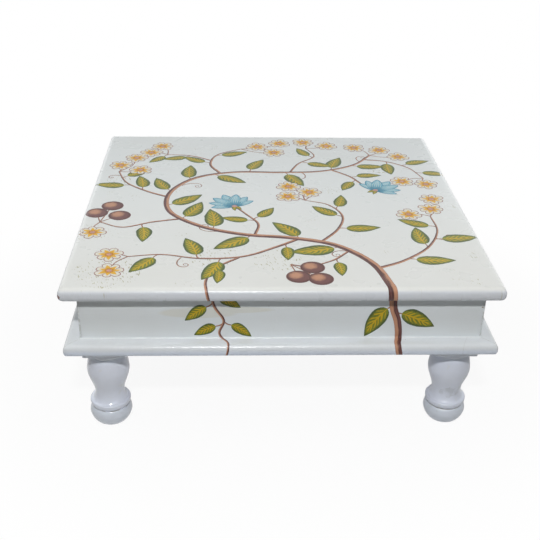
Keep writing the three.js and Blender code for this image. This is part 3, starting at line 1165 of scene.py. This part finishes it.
def draw_berries(brush):
    sheet = painting()
    for name, steps in BERRY_SHARES.items():
        end = stem_path(name)[-1]
        for number, (right, away) in enumerate(steps):
            middle = end + Vector((right, away, 0)) * HALF
            brush.line([end, end.lerp(middle, 0.5), middle], *BERRY_TWIG_WIDTHS, TWIG_COAT)
            coat = BERRY_COAT + 0.5 * number
            round_mark(brush, "berry_rim", middle, sheet.berry + BERRY_LINE, coat)
            round_mark(brush, "berry", middle, sheet.berry, coat + 0.2)


def painted_lines(net, wire):
    """A flat painted line along each chain of points, in even steps"""
    place = net.node("GeometryNodeInputPosition")
    line = net.node("GeometryNodeMeshToCurve", {"Mesh": wire["Geometry"]})
    flat = net.node("GeometryNodeSetCurveNormal", {"Curve": line}, mode="Z_UP")
    even = net.node("GeometryNodeResampleCurve", {"Curve": flat, "Length": wire["Step"]}, mode="LENGTH")
    even = stored(net, even, "along", net.node("GeometryNodeSplineParameter", None, "Length"))
    ring = net.node("GeometryNodeCurvePrimitiveCircle", {"Resolution": wire["Sides"], "Radius": 1.0})
    across, lift, _ = net.parts(place)
    ring = stored(net, ring, "across", across)
    ring = stored(net, ring, "lift", lift)
    sweep = {"Curve": even, "Profile Curve": ring, "Fill Caps": True, "Scale": named(net, "width") / 2}
    tube = net.node("GeometryNodeCurveToMesh", sweep)
    x, y, _ = net.parts(place)
    return moved(net, tube, x, y, wire["Film"] * (named(net, "coat") + named(net, "lift")))


def painted_marks(net, wire):
    """A thin mark on each point: a slab given its outline by two powers, then turned, bent and laid"""
    place = net.node("GeometryNodeInputPosition")
    grid = {"Vertices X": wire["Columns"], "Vertices Y": wire["Rows"], "Vertices Z": 2}
    slab = net.node("GeometryNodeMeshCube", {"Size": (1.0, 1.0, 1.0), **grid}, "Mesh")
    x, y, z = net.parts(place)
    slab = stored(net, slab, "u", net.sine(x * math.pi) * 0.5 + 0.5)
    slab = stored(net, slab, "v", y * 2)
    slab = stored(net, slab, "upper", z + 0.5)
    marks = copied(net, stored(net, wire["Geometry"], "root", place, "FLOAT_VECTOR"), slab)
    u, v, upper = (named(net, name) for name in ("u", "v", "upper"))
    turn, long, wide, bend = (named(net, name) for name in ("turn", "long", "wide", "bend"))
    root = named(net, "root", "FLOAT_VECTOR")
    root_power, tip_power = wire["Root power"], wire["Tip power"]
    both = root_power + tip_power
    most = (root_power / both) ** root_power * (tip_power / both) ** tip_power
    outline = u**root_power * (1 - u) ** tip_power / most
    seed = net.vectors("ADD", root, net.joined(u * 0.03, v * 0.01, 0.0))
    uneven = 1 + (net.noise(seed, 190, 1) - 0.5) * wire["Wobble"]
    half = wide * 0.5 * outline * uneven + 0.02 * MM
    ahead = long * u
    aside = v * half + long * bend * u * u
    cosine, sine = net.maths("COSINE", turn), net.sine(turn)
    root_x, root_y, _ = net.parts(root)
    crown = 0.45 + 0.55 * (1 - v * v)
    height = wire["Film"] * (named(net, "coat") + upper * crown - (1 - upper))
    x, y = root_x + cosine * ahead - sine * aside, root_y + sine * ahead + cosine * aside
    return moved(net, marks, x, y, height)


def wrapped(point):
    """A place on the flat sheet, carried onto the table"""
    right, away, lift = point
    room = sizes().paint_room
    if away < -SIDE_SHIFT / 2:
        return on_front(right, -SIDE_SHIFT - away, lift, room)
    flat = HALF - NOSE
    radius = NOSE - room
    middle = TOP_LOW.z + NOSE
    reach = max(abs(right), abs(away))
    if reach <= flat:
        return Vector((right, away, middle + radius + lift))
    angle = (reach - flat) / radius
    full = fullness(angle)
    out = flat + (radius * full + lift) * math.sin(angle)
    tall = radius if angle < math.pi / 2 else NOSE
    level = middle + (tall * full + lift) * math.cos(angle)
    if abs(right) > abs(away):
        return Vector((math.copysign(out, right), away, level))
    return Vector((right, math.copysign(out, away), level))


def on_front(right, down, lift, room):
    """A place measured down the apron, over the moulding's flat and round its edge"""
    apron = APRON_HIGH.z - MOULDING_HIGH.z
    bead = sizes().bead * BEAD_COVER_SHARE
    if abs(down - apron) < bead:
        turn = (1 + (down - apron) / bead) * math.pi / 4
        out = APRON_REACH + lift + bead * math.sin(turn)
        return Vector((right, -out, MOULDING_HIGH.z + lift + bead * math.cos(turn)))
    if down <= apron:
        return Vector((right, -APRON_REACH - lift, APRON_HIGH.z - down))
    flat = HALF - MOULDING_NOSE
    ledge = flat - APRON_REACH
    if down <= apron + ledge:
        return Vector((right, -APRON_REACH - (down - apron), MOULDING_HIGH.z + lift))
    radius = MOULDING_NOSE - room
    angle = (down - apron - ledge) / MOULDING_NOSE
    full = fullness(angle)
    level = MOULDING_LOW.z + MOULDING_NOSE + (MOULDING_NOSE * full + lift) * math.cos(angle)
    return Vector((right, -flat - (radius * full + lift) * math.sin(angle), level))


def lay(piece, title, shape, material, values):
    """Shapes a piece of the painting by a tree and carries it from the flat sheet onto the table."""
    run_nodes(piece, title, shape, {**values, "Film": sizes().film, "Material": material})
    for vertex in piece.data.vertices:
        vertex.co = wrapped(vertex.co)
    outward(piece)
    smooth(piece.data, 60)
    hand_over(piece, "painted_wood")


# Outline of each kind of mark: the values of these inputs
MARK_INPUTS = ("Columns", "Rows", "Root power", "Tip power", "Wobble")
MARK_KINDS = {
    "leaf": (16, 7, 0.55, 0.95, 0.22),
    "outline": (8, 3, 0.85, 0.42, 0.10),
    "petal": (8, 3, 0.85, 0.42, 0.10),
    "heart": (7, 3, 0.5, 0.9, 0.3),
    "centre": (8, 5, 0.5, 0.5, 0.15),
    "dot": (5, 3, 0.5, 0.5, 0.0),
    "lotus_outline": (14, 5, 0.62, 0.78, 0.05),
    "lotus": (14, 7, 0.62, 0.78, 0.05),
    "berry_rim": (14, 5, 0.5, 0.5, 0.03),
    "berry": (14, 7, 0.5, 0.5, 0.03),
}


def tone(number, pace):
    """A share from 0 to 1 that jumps from one number to the next"""
    return math.sin(pace * number) * 0.5 + 0.5


def make_marks(brush, kind, name, material):
    places, *numbers = zip(*brush.marks[kind])
    piece = new_object(name, places, [])
    for label, values in zip(("turn", "long", "wide", "bend", "coat"), numbers):
        add_numbers(piece, label, values)
    add_numbers(piece, "tone", [tone(number, 12.9) for number in range(len(places))])
    lay(piece, "Painted marks", painted_marks, material, dict(zip(MARK_INPUTS, MARK_KINDS[kind])))


def make_lines(brush, name, material):
    vertices, edges, widths, coats, tones = [], [], [], [], []
    for number, (path, start, end, coat) in enumerate(brush.lines):
        first = len(vertices)
        last = len(path) - 1
        vertices += [tuple(point) for point in path]
        widths += [start + (end - start) * step / last for step in range(last + 1)]
        coats += [coat] * len(path)
        tones += [tone(number, 7.7)] * len(path)
        edges += [(first + step, first + step + 1) for step in range(last)]
    piece = new_object(name, [], [])
    piece.data.from_pydata(vertices, edges, [])
    for label, values in {"width": widths, "coat": coats, "tone": tones}.items():
        add_numbers(piece, label, values)
    lay(piece, "Painted lines", painted_lines, material, {"Step": painting().step, "Sides": 12})


def whole_painting():
    brush = Brush()
    for draw in (draw_stems, draw_leaves, draw_rosettes, draw_lotuses, draw_berries):
        draw(brush)
    return brush


class BAJOT_OT_stems(BajotOperator):
    """Paints the stems, twigs, stalks and tendrils"""

    bl_idname = "bajot.stems"
    bl_label = "Painted Stems"

    def execute(self, context):
        make_lines(whole_painting(), "painted_stems", paint("Stem paint", stem_paint))
        return {"FINISHED"}


class BAJOT_OT_leaves(BajotOperator):
    """Paints the leaves"""

    bl_idname = "bajot.leaves"
    bl_label = "Painted Leaves"

    def execute(self, context):
        make_marks(whole_painting(), "leaf", "painted_leaves", paint("Leaf paint", leaf_paint))
        return {"FINISHED"}


class BAJOT_OT_rosettes(BajotOperator):
    """Paints the round flowers, coat by coat"""

    bl_idname = "bajot.rosettes"
    bl_label = "Painted Rosettes"

    def execute(self, context):
        brush = whole_painting()
        shades = tints()
        line = paint("Plum line paint", plain_paint, shades.outline)
        make_marks(brush, "outline", "painted_petal_outlines", line)
        make_marks(brush, "petal", "painted_petals", paint("Petal paint", petal_paint))
        make_marks(brush, "heart", "painted_petal_hearts", paint("Heart paint", heart_paint))
        make_marks(brush, "centre", "painted_centres", paint("Centre paint", plain_paint, CENTRE_SHADE))
        make_marks(brush, "dot", "painted_dots", paint("Dot paint", plain_paint, shades.stem))
        return {"FINISHED"}


class BAJOT_OT_lotuses(BajotOperator):
    """Paints the two blue lotus flowers"""

    bl_idname = "bajot.lotuses"
    bl_label = "Painted Lotus Flowers"

    def execute(self, context):
        brush = whole_painting()
        deep = paint("Deep blue paint", plain_paint, tints().blue_deep)
        make_marks(brush, "lotus_outline", "painted_lotus_outlines", deep)
        make_marks(brush, "lotus", "painted_lotus_petals", paint("Lotus paint", lotus_paint))
        return {"FINISHED"}


class BAJOT_OT_berries(BajotOperator):
    """Paints the berries"""

    bl_idname = "bajot.berries"
    bl_label = "Painted Berries"

    def execute(self, context):
        brush = whole_painting()
        rim = paint("Berry line paint", plain_paint, tints().stem)
        make_marks(brush, "berry_rim", "painted_berry_rims", rim)
        make_marks(brush, "berry", "painted_berries", paint("Berry paint", berry_paint))
        return {"FINISHED"}


# Shades of single places in the paints, the enamel and the steel
CENTRE_SHADE = (0.50, 0.28, 0.24)
LEAF_RIM = (0.07, 0.13, 0.085)
HEART_ROOT = (0.62, 0.24, 0.015)
RUBBED = (0.36, 0.32, 0.14)
STAINED = (0.62, 0.56, 0.36)
BUN_GREY = (0.58, 0.63, 0.67)
NECK_PATCH_GREY = (0.45, 0.47, 0.50)
# A painted highlight on the joint's bead
BEAD_PAINTED_HIGHLIGHT = (0.93, 0.94, 0.94)
RUSTED = (0.20, 0.09, 0.035)


# Paints. Each gives a colour, and the height of its strokes or None.


def paint(name, mix, *more):
    """A paint of the picture, with the gloss and the brushed relief that they all share"""

    def brushed(net, place, shades):
        base, height = mix(net, place, shades, *more)
        strokes = net.noise(place, 900, 2)
        relief = strokes * 0.4 if height is None else strokes * 0.3 + height
        return base, 0.27 + net.noise(place, 240) * 0.1, relief

    return finished(name, brushed, relief=PAINT_RELIEF, gloss=0.25)


def times(shade, share):
    """A lighter or darker shade"""
    return tuple(min(1, share * part) for part in shade)


def plain_paint(net, place, shades, shade):
    worn = net.between(net.noise(place, 420, 3), 0.35, 0.7)
    return net.mixed(worn, shade, times(shade, 1.45)), None


def stem_paint(net, place, shades):
    """Plum brown with streaks, a dark edge and peach on the lit side"""
    across, along, tone = (net.attribute(name) for name in ("across", "along", "tone"))
    streak = net.noise(net.joined(along * 55, across * 3.6, tone * 9), 1.0, 3, 0.6)
    base = net.mixed(net.between(streak, 0.4, 0.62), times(shades.stem, 0.5), shades.stem)
    lit = net.between(across + (streak - 0.5) * 1.6, -0.2, 0.3)
    base = net.mixed(lit * 0.9, base, shades.stem_light)
    edge = net.between(abs(across), 0.86, 0.98)
    return net.mixed(edge * 0.6, base, shades.stem), streak * 0.5


def leaf_paint(net, place, shades):
    """Green leaves with a dark edge and ochre strokes that lean off the midrib"""
    u, v, tone = (net.attribute(name) for name in ("u", "v", "tone"))
    side = abs(v)
    rough = net.noise(place, 520, 3, 0.6) - 0.5
    edge = net.between(side + rough * 0.5, 0.52, 0.88)
    ends = net.between(u + rough * 0.15, 0.80, 0.97)
    green = net.mixed(net.between(v + rough, -0.5, 0.6), shades.leaf, times(shades.leaf, 1.2))
    base = net.mixed(net.most(edge, ends), green, shades.leaf_edge)
    drift = (net.noise(place, 130, 1) - 0.5) * 0.9
    waves = net.sine((u * 7.0 - side * 2.1 + tone + drift) * math.tau)
    strokes = net.between(waves + rough * 1.4, -0.1, 0.5)
    reach = net.outside(side + rough * 0.7, 0.46, 0.72)
    inside = net.between(u, 0.06, 0.16) * net.outside(u, 0.74, 0.86)
    midrib = net.outside(side, 0.05, 0.15) * net.outside(u, 0.8, 0.95)
    ochre = net.most(strokes * reach * inside, midrib)
    shadow = net.between(-waves, 0.3, 0.9) * reach * inside
    base = net.mixed(shadow * 0.35, base, shades.leaf_edge)
    base = net.mixed(ochre * 0.92, base, shades.leaf_stroke)
    rim = net.between(side + rough * 0.2, 0.86, 0.97)
    return net.mixed(rim * 0.7, base, LEAF_RIM), ochre * 0.4


def petal_paint(net, place, shades):
    """Cream that goes over to yellow towards the heart, with fine lines"""
    u, v = net.attribute("u"), net.attribute("v")
    soft = net.noise(place, 600, 2) - 0.5
    base = net.mixed(net.between(u + soft * 0.3, 0.08, 0.42), shades.petal_heart, shades.petal)
    lines = net.between(net.sine(v * 9 + soft * 2), 0.6, 0.95) * net.outside(u, 0.45, 0.8)
    return net.mixed(lines * 0.35, base, shades.outline), None


def heart_paint(net, place, shades):
    """Orange yellow with a brown root and darker strokes"""
    soft = net.noise(place, 700, 2) - 0.5
    inner = net.between(net.attribute("u") + soft * 0.6, 0.15, 0.55)
    return net.mixed(inner, HEART_ROOT, shades.petal_heart), soft * 0.3


def lotus_paint(net, place, shades):
    """Blue petals, deep at the root and pale along the middle, with fine white strokes"""
    u, v, tone = (net.attribute(name) for name in ("u", "v", "tone"))
    soft = net.noise(place, 420, 3) - 0.5
    base = net.mixed(net.between(u + soft * 0.4, 0.02, 0.5), shades.blue_deep, shades.blue)
    pale = net.outside(abs(v) + soft * 0.5, 0.2, 0.85) * net.between(u, 0.25, 0.7)
    base = net.mixed(pale * 0.55, base, shades.blue_pale)
    comb = net.sine(v * 17 + tone * 3 + u * 2.5)
    strokes = net.between(comb + soft * 1.4, 0.55, 0.95)
    strokes = strokes * net.between(u, 0.2, 0.4) * net.outside(u, 0.78, 0.92)
    return net.mixed(strokes * 0.8, base, shades.petal), strokes * 0.5


def berry_paint(net, place, shades):
    """Brown red berries with a peach light on one side"""
    x = net.attribute("u") * 2 - 1
    y = net.attribute("v") * net.maths("SQRT", net.most(1 - x * x, 0.0))
    soft = net.noise(place, 360, 3) - 0.5
    off_light = (x + 0.22) ** 2 + (y - 0.25) * (y - 0.25)
    light = net.outside(off_light + soft * 0.35, 0.02, 0.55)
    rim = net.between(x * x + y * y + soft * 0.4, 0.45, 1.0)
    base = net.mixed(light * 0.9, shades.stem, shades.stem_light)
    return net.mixed(rim * 0.8, base, times(shades.stem, 0.45)), None


# Enamel, and steel. Each gives a colour, a roughness and a height.


def enamel_base(net, place, grain, shade, ripples, seam=None):
    """Brushed off-white enamel: its colour, with specks and a dirty seam, and its relief"""
    grime_and_shade = tints().grime_and_shade
    brush = net.noise(net.stretched(place, grain), 620, 3, 0.55)
    drift = net.noise(place, 9, 2)
    peel = net.noise(place, 260, 2)
    share = net.maths("ADD", (drift - 0.45) * 0.5, (brush - 0.5) * 0.12, clamp=True)
    base = net.mixed(share, shade, tints().enamel_aged)
    # Small specks of dirt, each in a cell of its own
    chance, size, _ = net.parts(net.cells(place, 70.0, "Color"))
    speck = net.outside(net.cells(place, 70.0), 0.02, 0.05 + size * 0.03) * net.between(chance, 0.86, 0.88)
    base = net.mixed(speck * 0.8, base, grime_and_shade)
    if seam is not None:
        base = net.mixed(seam, base, grime_and_shade)
    lumps = net.noise(place, 150, 1) * 7.0 + net.noise(place, 420, 1) * 4.5
    return base, brush * 0.5 + peel * 0.35 + drift * 2.0 + lumps * ripples


# Rubbed spots on the top: places as shares of its half side, and their reach
RUBBED_SHARES = (
    (-0.34, -0.68, 0.13), (-0.02, -0.72, 0.12), (-0.80, -0.84, 0.16), (0.92, -0.66, 0.04),
    (0.86, -0.93, 0.04), (-0.93, -0.42, 0.09), (-0.86, 0.26, 0.08), (0.30, 0.12, 0.06), (0.62, 0.40, 0.05),
)

# A reach so large that a spot's height doesn't count
ANY_HEIGHT = 9.0

TOP_GRAIN = (0.07, 1.0, 1.0)
FOOT_GRAIN = (0.25, 0.25, 1.4)


def top_enamel(net, place, shades):
    """Enamel of the top: rubbed through in small dashes, chipped at the front corner, bare underneath"""
    x, y, z = net.parts(place)
    flat = net.between(z, TOP_HIGH.z - 4.5 * MM, TOP_HIGH.z - 1.2 * MM)
    # Painted light: the flat top is painted lightest in the middle and darker towards its front and back
    # edges, and goes over to a cooler enamel towards the back. Painted shade: the nose takes a bluer copy of
    # the side enamel.
    warm = net.mixed(net.between(y, -HALF, HALF * 0.4), shades.enamel, shades.enamel_back)
    painted_light_falloff = 1.05 - net.between(y, 0.0, HALF) * 0.035 - net.outside(y, -HALF, 0.0) * 0.04
    edge = net.stretched(shades.enamel_shaded_cool, (0.99, 0.975, 1.02))
    shade = net.mixed(flat, edge, net.stretched(warm, painted_light_falloff))
    ripples = (1 - flat) * net.outside(y, 8 * MM - HALF, 12 * MM - HALF)
    base, height = enamel_base(net, place, TOP_GRAIN, shade, ripples)
    patches = net.between(net.noise(place, 26, 1), 0.62, 0.72) * 0.5
    for right, away, reach in RUBBED_SHARES:
        middle = (right * HALF, away * HALF, TOP_HIGH.z)
        spot = blot(net, place, middle, (reach * HALF, reach * HALF, ANY_HEIGHT), 0.5, 60)
        patches = net.most(patches, spot)
    lean = net.joined(x * 560 + y * 150, y * 190, z)
    dashes = net.between(net.noise(lean, 1.0, 1), 0.62, 0.70) * patches
    base = net.mixed(dashes * 0.7, base, RUBBED)
    chip_place = (-HALF + 1.4 * MM, -HALF + 1.4 * MM, TOP_LOW.z + 7.0 * MM)
    chip = blot(net, place, chip_place, mm(2.2, 2.2, 2.1))
    base = net.mixed(chip * 0.85, base, shades.chipped)
    side_nose = (1 - flat) * net.between(abs(x), HALF - 8 * MM, HALF - 6 * MM)
    rough = 0.22 + net.noise(place, 40, 2) * 0.14 + chip * 0.4 + side_nose * 0.35
    under = net.outside(net.most(abs(x), abs(y)), BOX_REACH - 0.2 * MM, BOX_REACH)
    under = under * net.outside(z, TOP_LOW.z, TOP_LOW.z + 0.3 * MM)
    wood, wood_height = wood_shade(net, place, shades, GRAINS["x"])
    base = net.mixed(under, base, wood)
    return base, rough + under * 0.35, height * (1 - under) + wood_height * under * 2 - chip * 2


def side_grain(side):
    return GRAINS["x" if side in LONG_SIDES else "y"]


def apron_enamel(net, place, shades, side):
    """Enamel of an apron: stained on the front, dirty along its joints, bare inside the box"""
    x, y, z = net.parts(place)
    along, reach = {"front": (x, -y), "right": (y, x), "back": (-x, y), "left": (-y, -x)}[side]
    joint = APRON_REACH - sizes().joint_return if side in LONG_SIDES else APRON_REACH
    ragged = net.noise(place, 330, 3)
    line = net.outside(abs(abs(along) - joint), 0.1 * MM, 0.4 * MM) * net.between(ragged, 0.38, 0.62)
    # Painted light: the apron is painted lighter towards its foot, for the light thrown up off the moulding.
    painted_bounce_light = net.outside(z, MOULDING_HIGH.z, MOULDING_HIGH.z + 26 * MM)
    shade = net.stretched(shades.enamel_shaded_cool, painted_bounce_light * 0.09 + 1.0)
    base, height = enamel_base(net, place, side_grain(side), shade, 0.3, line * 0.28)
    if side == "front":
        wide = blot(net, place, (-88 * MM, -APRON_REACH, 148.5 * MM), mm(42, 20, 6.5), 0.2, 30)
        tail = blot(net, place, (-48 * MM, -APRON_REACH, 152 * MM), mm(42, 20, 4), 0.2, 30)
        base = net.mixed(net.most(wide, tail) * 0.28, base, STAINED)
        nick = blot(net, place, (206.5 * MM, -APRON_REACH, 154.5 * MM), mm(1.7, 3, 0.9))
        base = net.mixed(nick * 0.8, base, shades.grime_and_shade)
    inside = net.outside(reach, BOX_REACH + 0.2 * MM, BOX_REACH + 0.5 * MM)
    wood, wood_height = wood_shade(net, place, shades, side_grain(side))
    rough = 0.18 + net.noise(place, 50) * 0.12 + inside * 0.4
    return net.mixed(inside, base, wood), rough, height * (1 - inside) + wood_height * inside * 2 - line


def bead_enamel(net, place, shades):
    """Thick enamel in the joint over the moulding. Its cool shade is lightened in patches as a painted
    highlight.
    """
    base = net.mixed(net.noise(place, 90, 2), shades.enamel_shaded_cool, BEAD_PAINTED_HIGHLIGHT)
    return base, 0.12 + net.noise(place, 60) * 0.1, net.noise(place, 300)


def moulding_enamel(net, place, shades, side):
    """Enamel of a moulding strip, with a dirty hairline along its mitres and a crack in the front one"""
    x, y, z = net.parts(place)
    ragged = net.noise(place, 300, 3)
    line = net.outside(abs(abs(x) - abs(y)), 0.1 * MM, 0.5 * MM) * net.between(ragged, 0.35, 0.55)
    if side == "front":
        crack_run = x - 191 * MM - (y + 217 * MM) * 0.45 + (net.noise(place, 160, 3) - 0.5) * (1.2 * MM)
        line = net.most(line, net.outside(abs(crack_run), 0.12 * MM, 0.4 * MM) * 0.35)
    # Painted light and shade: the moulding is a lighter copy of the side enamel, and its nose is painted
    # bluer below its middle as shade.
    upper = times(shades.enamel_shaded_cool, 1.03)
    low = net.between(z, MOULDING_LOW.z + MOULDING_NOSE * 0.6, MOULDING_LOW.z + MOULDING_NOSE * 1.6)
    shade = net.mixed(low, net.stretched(upper, (0.96, 0.99, 1.11)), net.stretched(upper, (1.0, 0.98, 0.99)))
    base, height = enamel_base(net, place, side_grain(side), shade, 1.0, line * 0.4)
    return base, 0.18 + net.noise(place, 50) * 0.12, height - line


def foot_enamel(net, place, shades, foot):
    """Enamel of the feet, brushed round them, with dirty grooves that are also darkened as painted shade and
    a grey patch on the right front neck. Painted shade makes them bluer and the right ones darker, and
    painted light makes the collar lighter.
    """
    x, _, z = net.parts(place)
    groove = foot.bun_rise + foot.shoulder_rise
    ragged = net.noise(place, 200, 3)
    # The grooves are darkened as soiling and also as painted shade.
    groove_dirt_and_shade = net.outside(abs(z - groove), 0.2 * MM, 0.9 * MM) * net.between(ragged, 0.3, 0.55)
    # Painted light and shade: the feet are a bluer copy of the side enamel, the collar and head a lighter one
    # where the moulding's shadow falls, and the right feet darker.
    painted_light_and_shade = net.mixed(net.between(z, 84 * MM, 88 * MM), (1.0, 0.99, 1.085), (1.1, 1.09, 1.16))
    rightward_shade_and_dullness = net.between(x, -100 * MM, 100 * MM)
    shade = net.stretched(net.stretched(painted_light_and_shade, shades.enamel_shaded_cool), 1.0 - rightward_shade_and_dullness * 0.05)
    base, height = enamel_base(net, place, FOOT_GRAIN, shade, 0.2, groove_dirt_and_shade * 0.65)
    worn = net.between(net.noise(place, 90, 3), 0.60, 0.72)
    base = net.mixed(worn * 0.25, base, shades.enamel_aged)
    # The bun below the groove goes over to a darker, bluer grey.
    bun_greying = net.outside(z, groove - 2 * MM, groove + 1 * MM) * (0.42 + worn * 0.3)
    base = net.mixed(bun_greying, base, BUN_GREY)
    # A ragged grey patch on the right front foot's neck.
    neck_patch = blot(net, place, mm(186, -203, 43), mm(12, 12, 8), 0.9, 150)
    neck_patch = neck_patch * net.between(net.noise(place, 130, 3), 0.34, 0.62)
    base = net.mixed(neck_patch * 0.5, base, NECK_PATCH_GREY)
    return base, 0.16 + net.noise(place, 60) * 0.08 + rightward_shade_and_dullness * 0.2, height


def dull_steel(net, place, shades):
    stain = net.noise(place, 500, 3)
    rust = net.between(stain, 0.56, 0.72)
    base = net.mixed(rust * 0.6, shades.steel, RUSTED)
    return base, 0.38 + stain * 0.25, stain, 1 - rust * 0.5


# Camera, lamps and floor

WHITE = (1.0, 1.0, 1.0)
FLOOR_REACH = 12
SENSOR = 36


def add_lamp(name, place, aim, size, power, shade):
    lamp = bpy.data.lights.new(name, "AREA")
    lamp.shape = "RECTANGLE"
    lamp.size, lamp.size_y = size
    lamp.energy = power
    lamp.color = shade
    made = bpy.data.objects.new(name, lamp)
    made.location = place
    made.rotation_euler = (Vector(aim) - Vector(place)).to_track_quat("-Z", "Y").to_euler()
    bpy.context.scene.collection.objects.link(made)


class BAJOT_OT_stage(BajotOperator):
    """Sets the camera, the lamps, the floor and the world"""

    bl_idname = "bajot.stage"
    bl_label = "Stage"

    def execute(self, context):
        stage = context.scene.bajot_stage
        self.camera(context, stage)
        middle = (0, 0, (TOP_LOW.z + FOOT_LOW.z) / 2)
        key_place = Vector((-0.07, -1.27, 1.30))
        key_aim = (key_place.x, 0, middle[2])
        add_lamp("Key", key_place, key_aim, (0.16, 0.08), stage.key, WHITE)
        add_lamp("Overhead", (-0.12, 0, 1.7), middle, (1.9, 2.7), stage.overhead, (0.98, 1.0, 0.95))
        for name, side in (("Back left", -1), ("Back right", 1)):
            add_lamp(name, (side * 1.5, 1.5, 0.6), middle, (2.0, 1.2), stage.behind, WHITE)
        self.floor(context)
        self.world(context, stage)
        context.scene.view_settings.view_transform = "Standard"
        return {"FINISHED"}

    def camera(self, context, stage):
        level = direction(math.pi / 2 - stage.yaw) * math.cos(stage.pitch)
        forward = level - Vector((0, 0, math.sin(stage.pitch)))
        right = forward.cross(Vector((0, 0, 1))).normalized()
        above = right.cross(forward)
        leaned = right * math.cos(stage.roll) + above * math.sin(stage.roll)
        upward = above * math.cos(stage.roll) - right * math.sin(stage.roll)
        data = bpy.data.cameras.new("Camera")
        data.lens = stage.lens
        data.sensor_width = SENSOR
        made = bpy.data.objects.new("Camera", data)
        turn = Matrix((leaned, upward, -forward)).transposed()
        made.matrix_world = Matrix.Translation(stage.camera_place) @ turn.to_4x4()
        context.scene.collection.objects.link(made)
        context.scene.camera = made

    def floor(self, context):
        corners = [(x * FLOOR_REACH, y * FLOOR_REACH, 0) for x, y in ((-1, -1), (1, -1), (1, 1), (-1, 1))]
        floor = new_object("floor", corners, [(0, 1, 2, 3)], floor_material())

    def world(self, context, stage):
        world = bpy.data.worlds.new("Room")
        world.use_nodes = True
        context.scene.world = world
        net = Net(world.node_tree)
        background = world.node_tree.nodes["Background"]
        seen, mirrored = seen_directly(net)
        around = net.mixed(mirrored, (1.0, 0.95, 0.88), (0.88, 0.95, 1.0))
        net.give(background.inputs["Color"], net.mixed(seen * (1 - mirrored), around, WHITE))
        net.give(background.inputs["Strength"], stage.room + (1 - stage.room) * seen)


def seen_directly(net):
    """1 on rays from the camera and on those that gloss or glass sends on, and 1 on those of gloss alone"""
    names = ("Is Camera Ray", "Is Glossy Ray", "Is Transmission Ray")
    straight, mirrored, through = (net.node("ShaderNodeLightPath", None, name) for name in names)
    return net.most(net.most(straight, mirrored), through), mirrored


def floor_material():
    """A pale floor, white to the camera but for the shadow, and open from below"""
    material = bpy.data.materials.new("Pale floor")
    material.use_nodes = True
    net = Net(material.node_tree)
    net.tree.nodes.remove(net.tree.nodes["Principled BSDF"])
    seen, _ = seen_directly(net)
    distance = net.vectors("LENGTH", net.places(), output="Value")
    share = 0.92 + net.between(distance, 0.30, 0.50) * 0.08
    bounce = net.mixed(net.between(distance, 0.30, 0.60), (0.655, 0.665, 0.68), (0.24, 0.23, 0.21))
    matt = net.node("ShaderNodeBsdfDiffuse", {"Color": net.mixed(seen, bounce, WHITE)})
    glow = net.node("ShaderNodeEmission", {"Color": WHITE, "Strength": 1.0})
    lit = net.node("ShaderNodeMixShader", {0: seen * share, 1: matt, 2: glow})
    clear = net.node("ShaderNodeBsdfTransparent")
    behind = net.node("ShaderNodeNewGeometry", None, "Backfacing")
    both = net.node("ShaderNodeMixShader", {0: behind, 1: lit, 2: clear})
    net.give(net.tree.nodes["Material Output"].inputs["Surface"], both)
    return material


class BAJOT_PT_panel(bpy.types.Panel):
    """The table's pieces and their sizes"""

    bl_idname = "BAJOT_PT_panel"
    bl_label = "Bajot Low Table"
    bl_space_type = "VIEW_3D"
    bl_region_type = "UI"
    bl_category = "Bajot"

    def draw(self, context):
        for operator in STEPS:
            self.layout.operator(operator.bl_idname)
        for name, group in GROUPS.items():
            self.layout.separator()
            for entry in group.__annotations__:
                self.layout.prop(getattr(context.scene, name), entry)


GROUPS = {
    "bajot_sizes": BajotSizes,
    "bajot_foot": BajotFoot,
    "bajot_painting": BajotPainting,
    "bajot_colours": BajotColours,
    "bajot_stage": BajotStage,
}
STEPS = (
    BAJOT_OT_top,
    BAJOT_OT_aprons,
    BAJOT_OT_beads,
    BAJOT_OT_mouldings,
    BAJOT_OT_feet,
    BAJOT_OT_blocks,
    BAJOT_OT_screws,
    BAJOT_OT_stems,
    BAJOT_OT_leaves,
    BAJOT_OT_rosettes,
    BAJOT_OT_lotuses,
    BAJOT_OT_berries,
    BAJOT_OT_stage,
)
CLASSES = (*GROUPS.values(), *STEPS, BAJOT_PT_panel)


def register():
    for kind in CLASSES:
        bpy.utils.register_class(kind)
    for name, group in GROUPS.items():
        setattr(bpy.types.Scene, name, PointerProperty(type=group))


def unregister():
    for name in GROUPS:
        delattr(bpy.types.Scene, name)
    for kind in reversed(CLASSES):
        bpy.utils.unregister_class(kind)


def main():
    register()
    bpy.ops.bajot.top()
    bpy.ops.bajot.aprons()
    bpy.ops.bajot.beads()
    bpy.ops.bajot.mouldings()
    bpy.ops.bajot.feet()
    bpy.ops.bajot.blocks()
    bpy.ops.bajot.screws()
    bpy.ops.bajot.stems()
    bpy.ops.bajot.leaves()
    bpy.ops.bajot.rosettes()
    bpy.ops.bajot.lotuses()
    bpy.ops.bajot.berries()
    bpy.ops.bajot.stage()


if __name__ == "__main__":
    main()
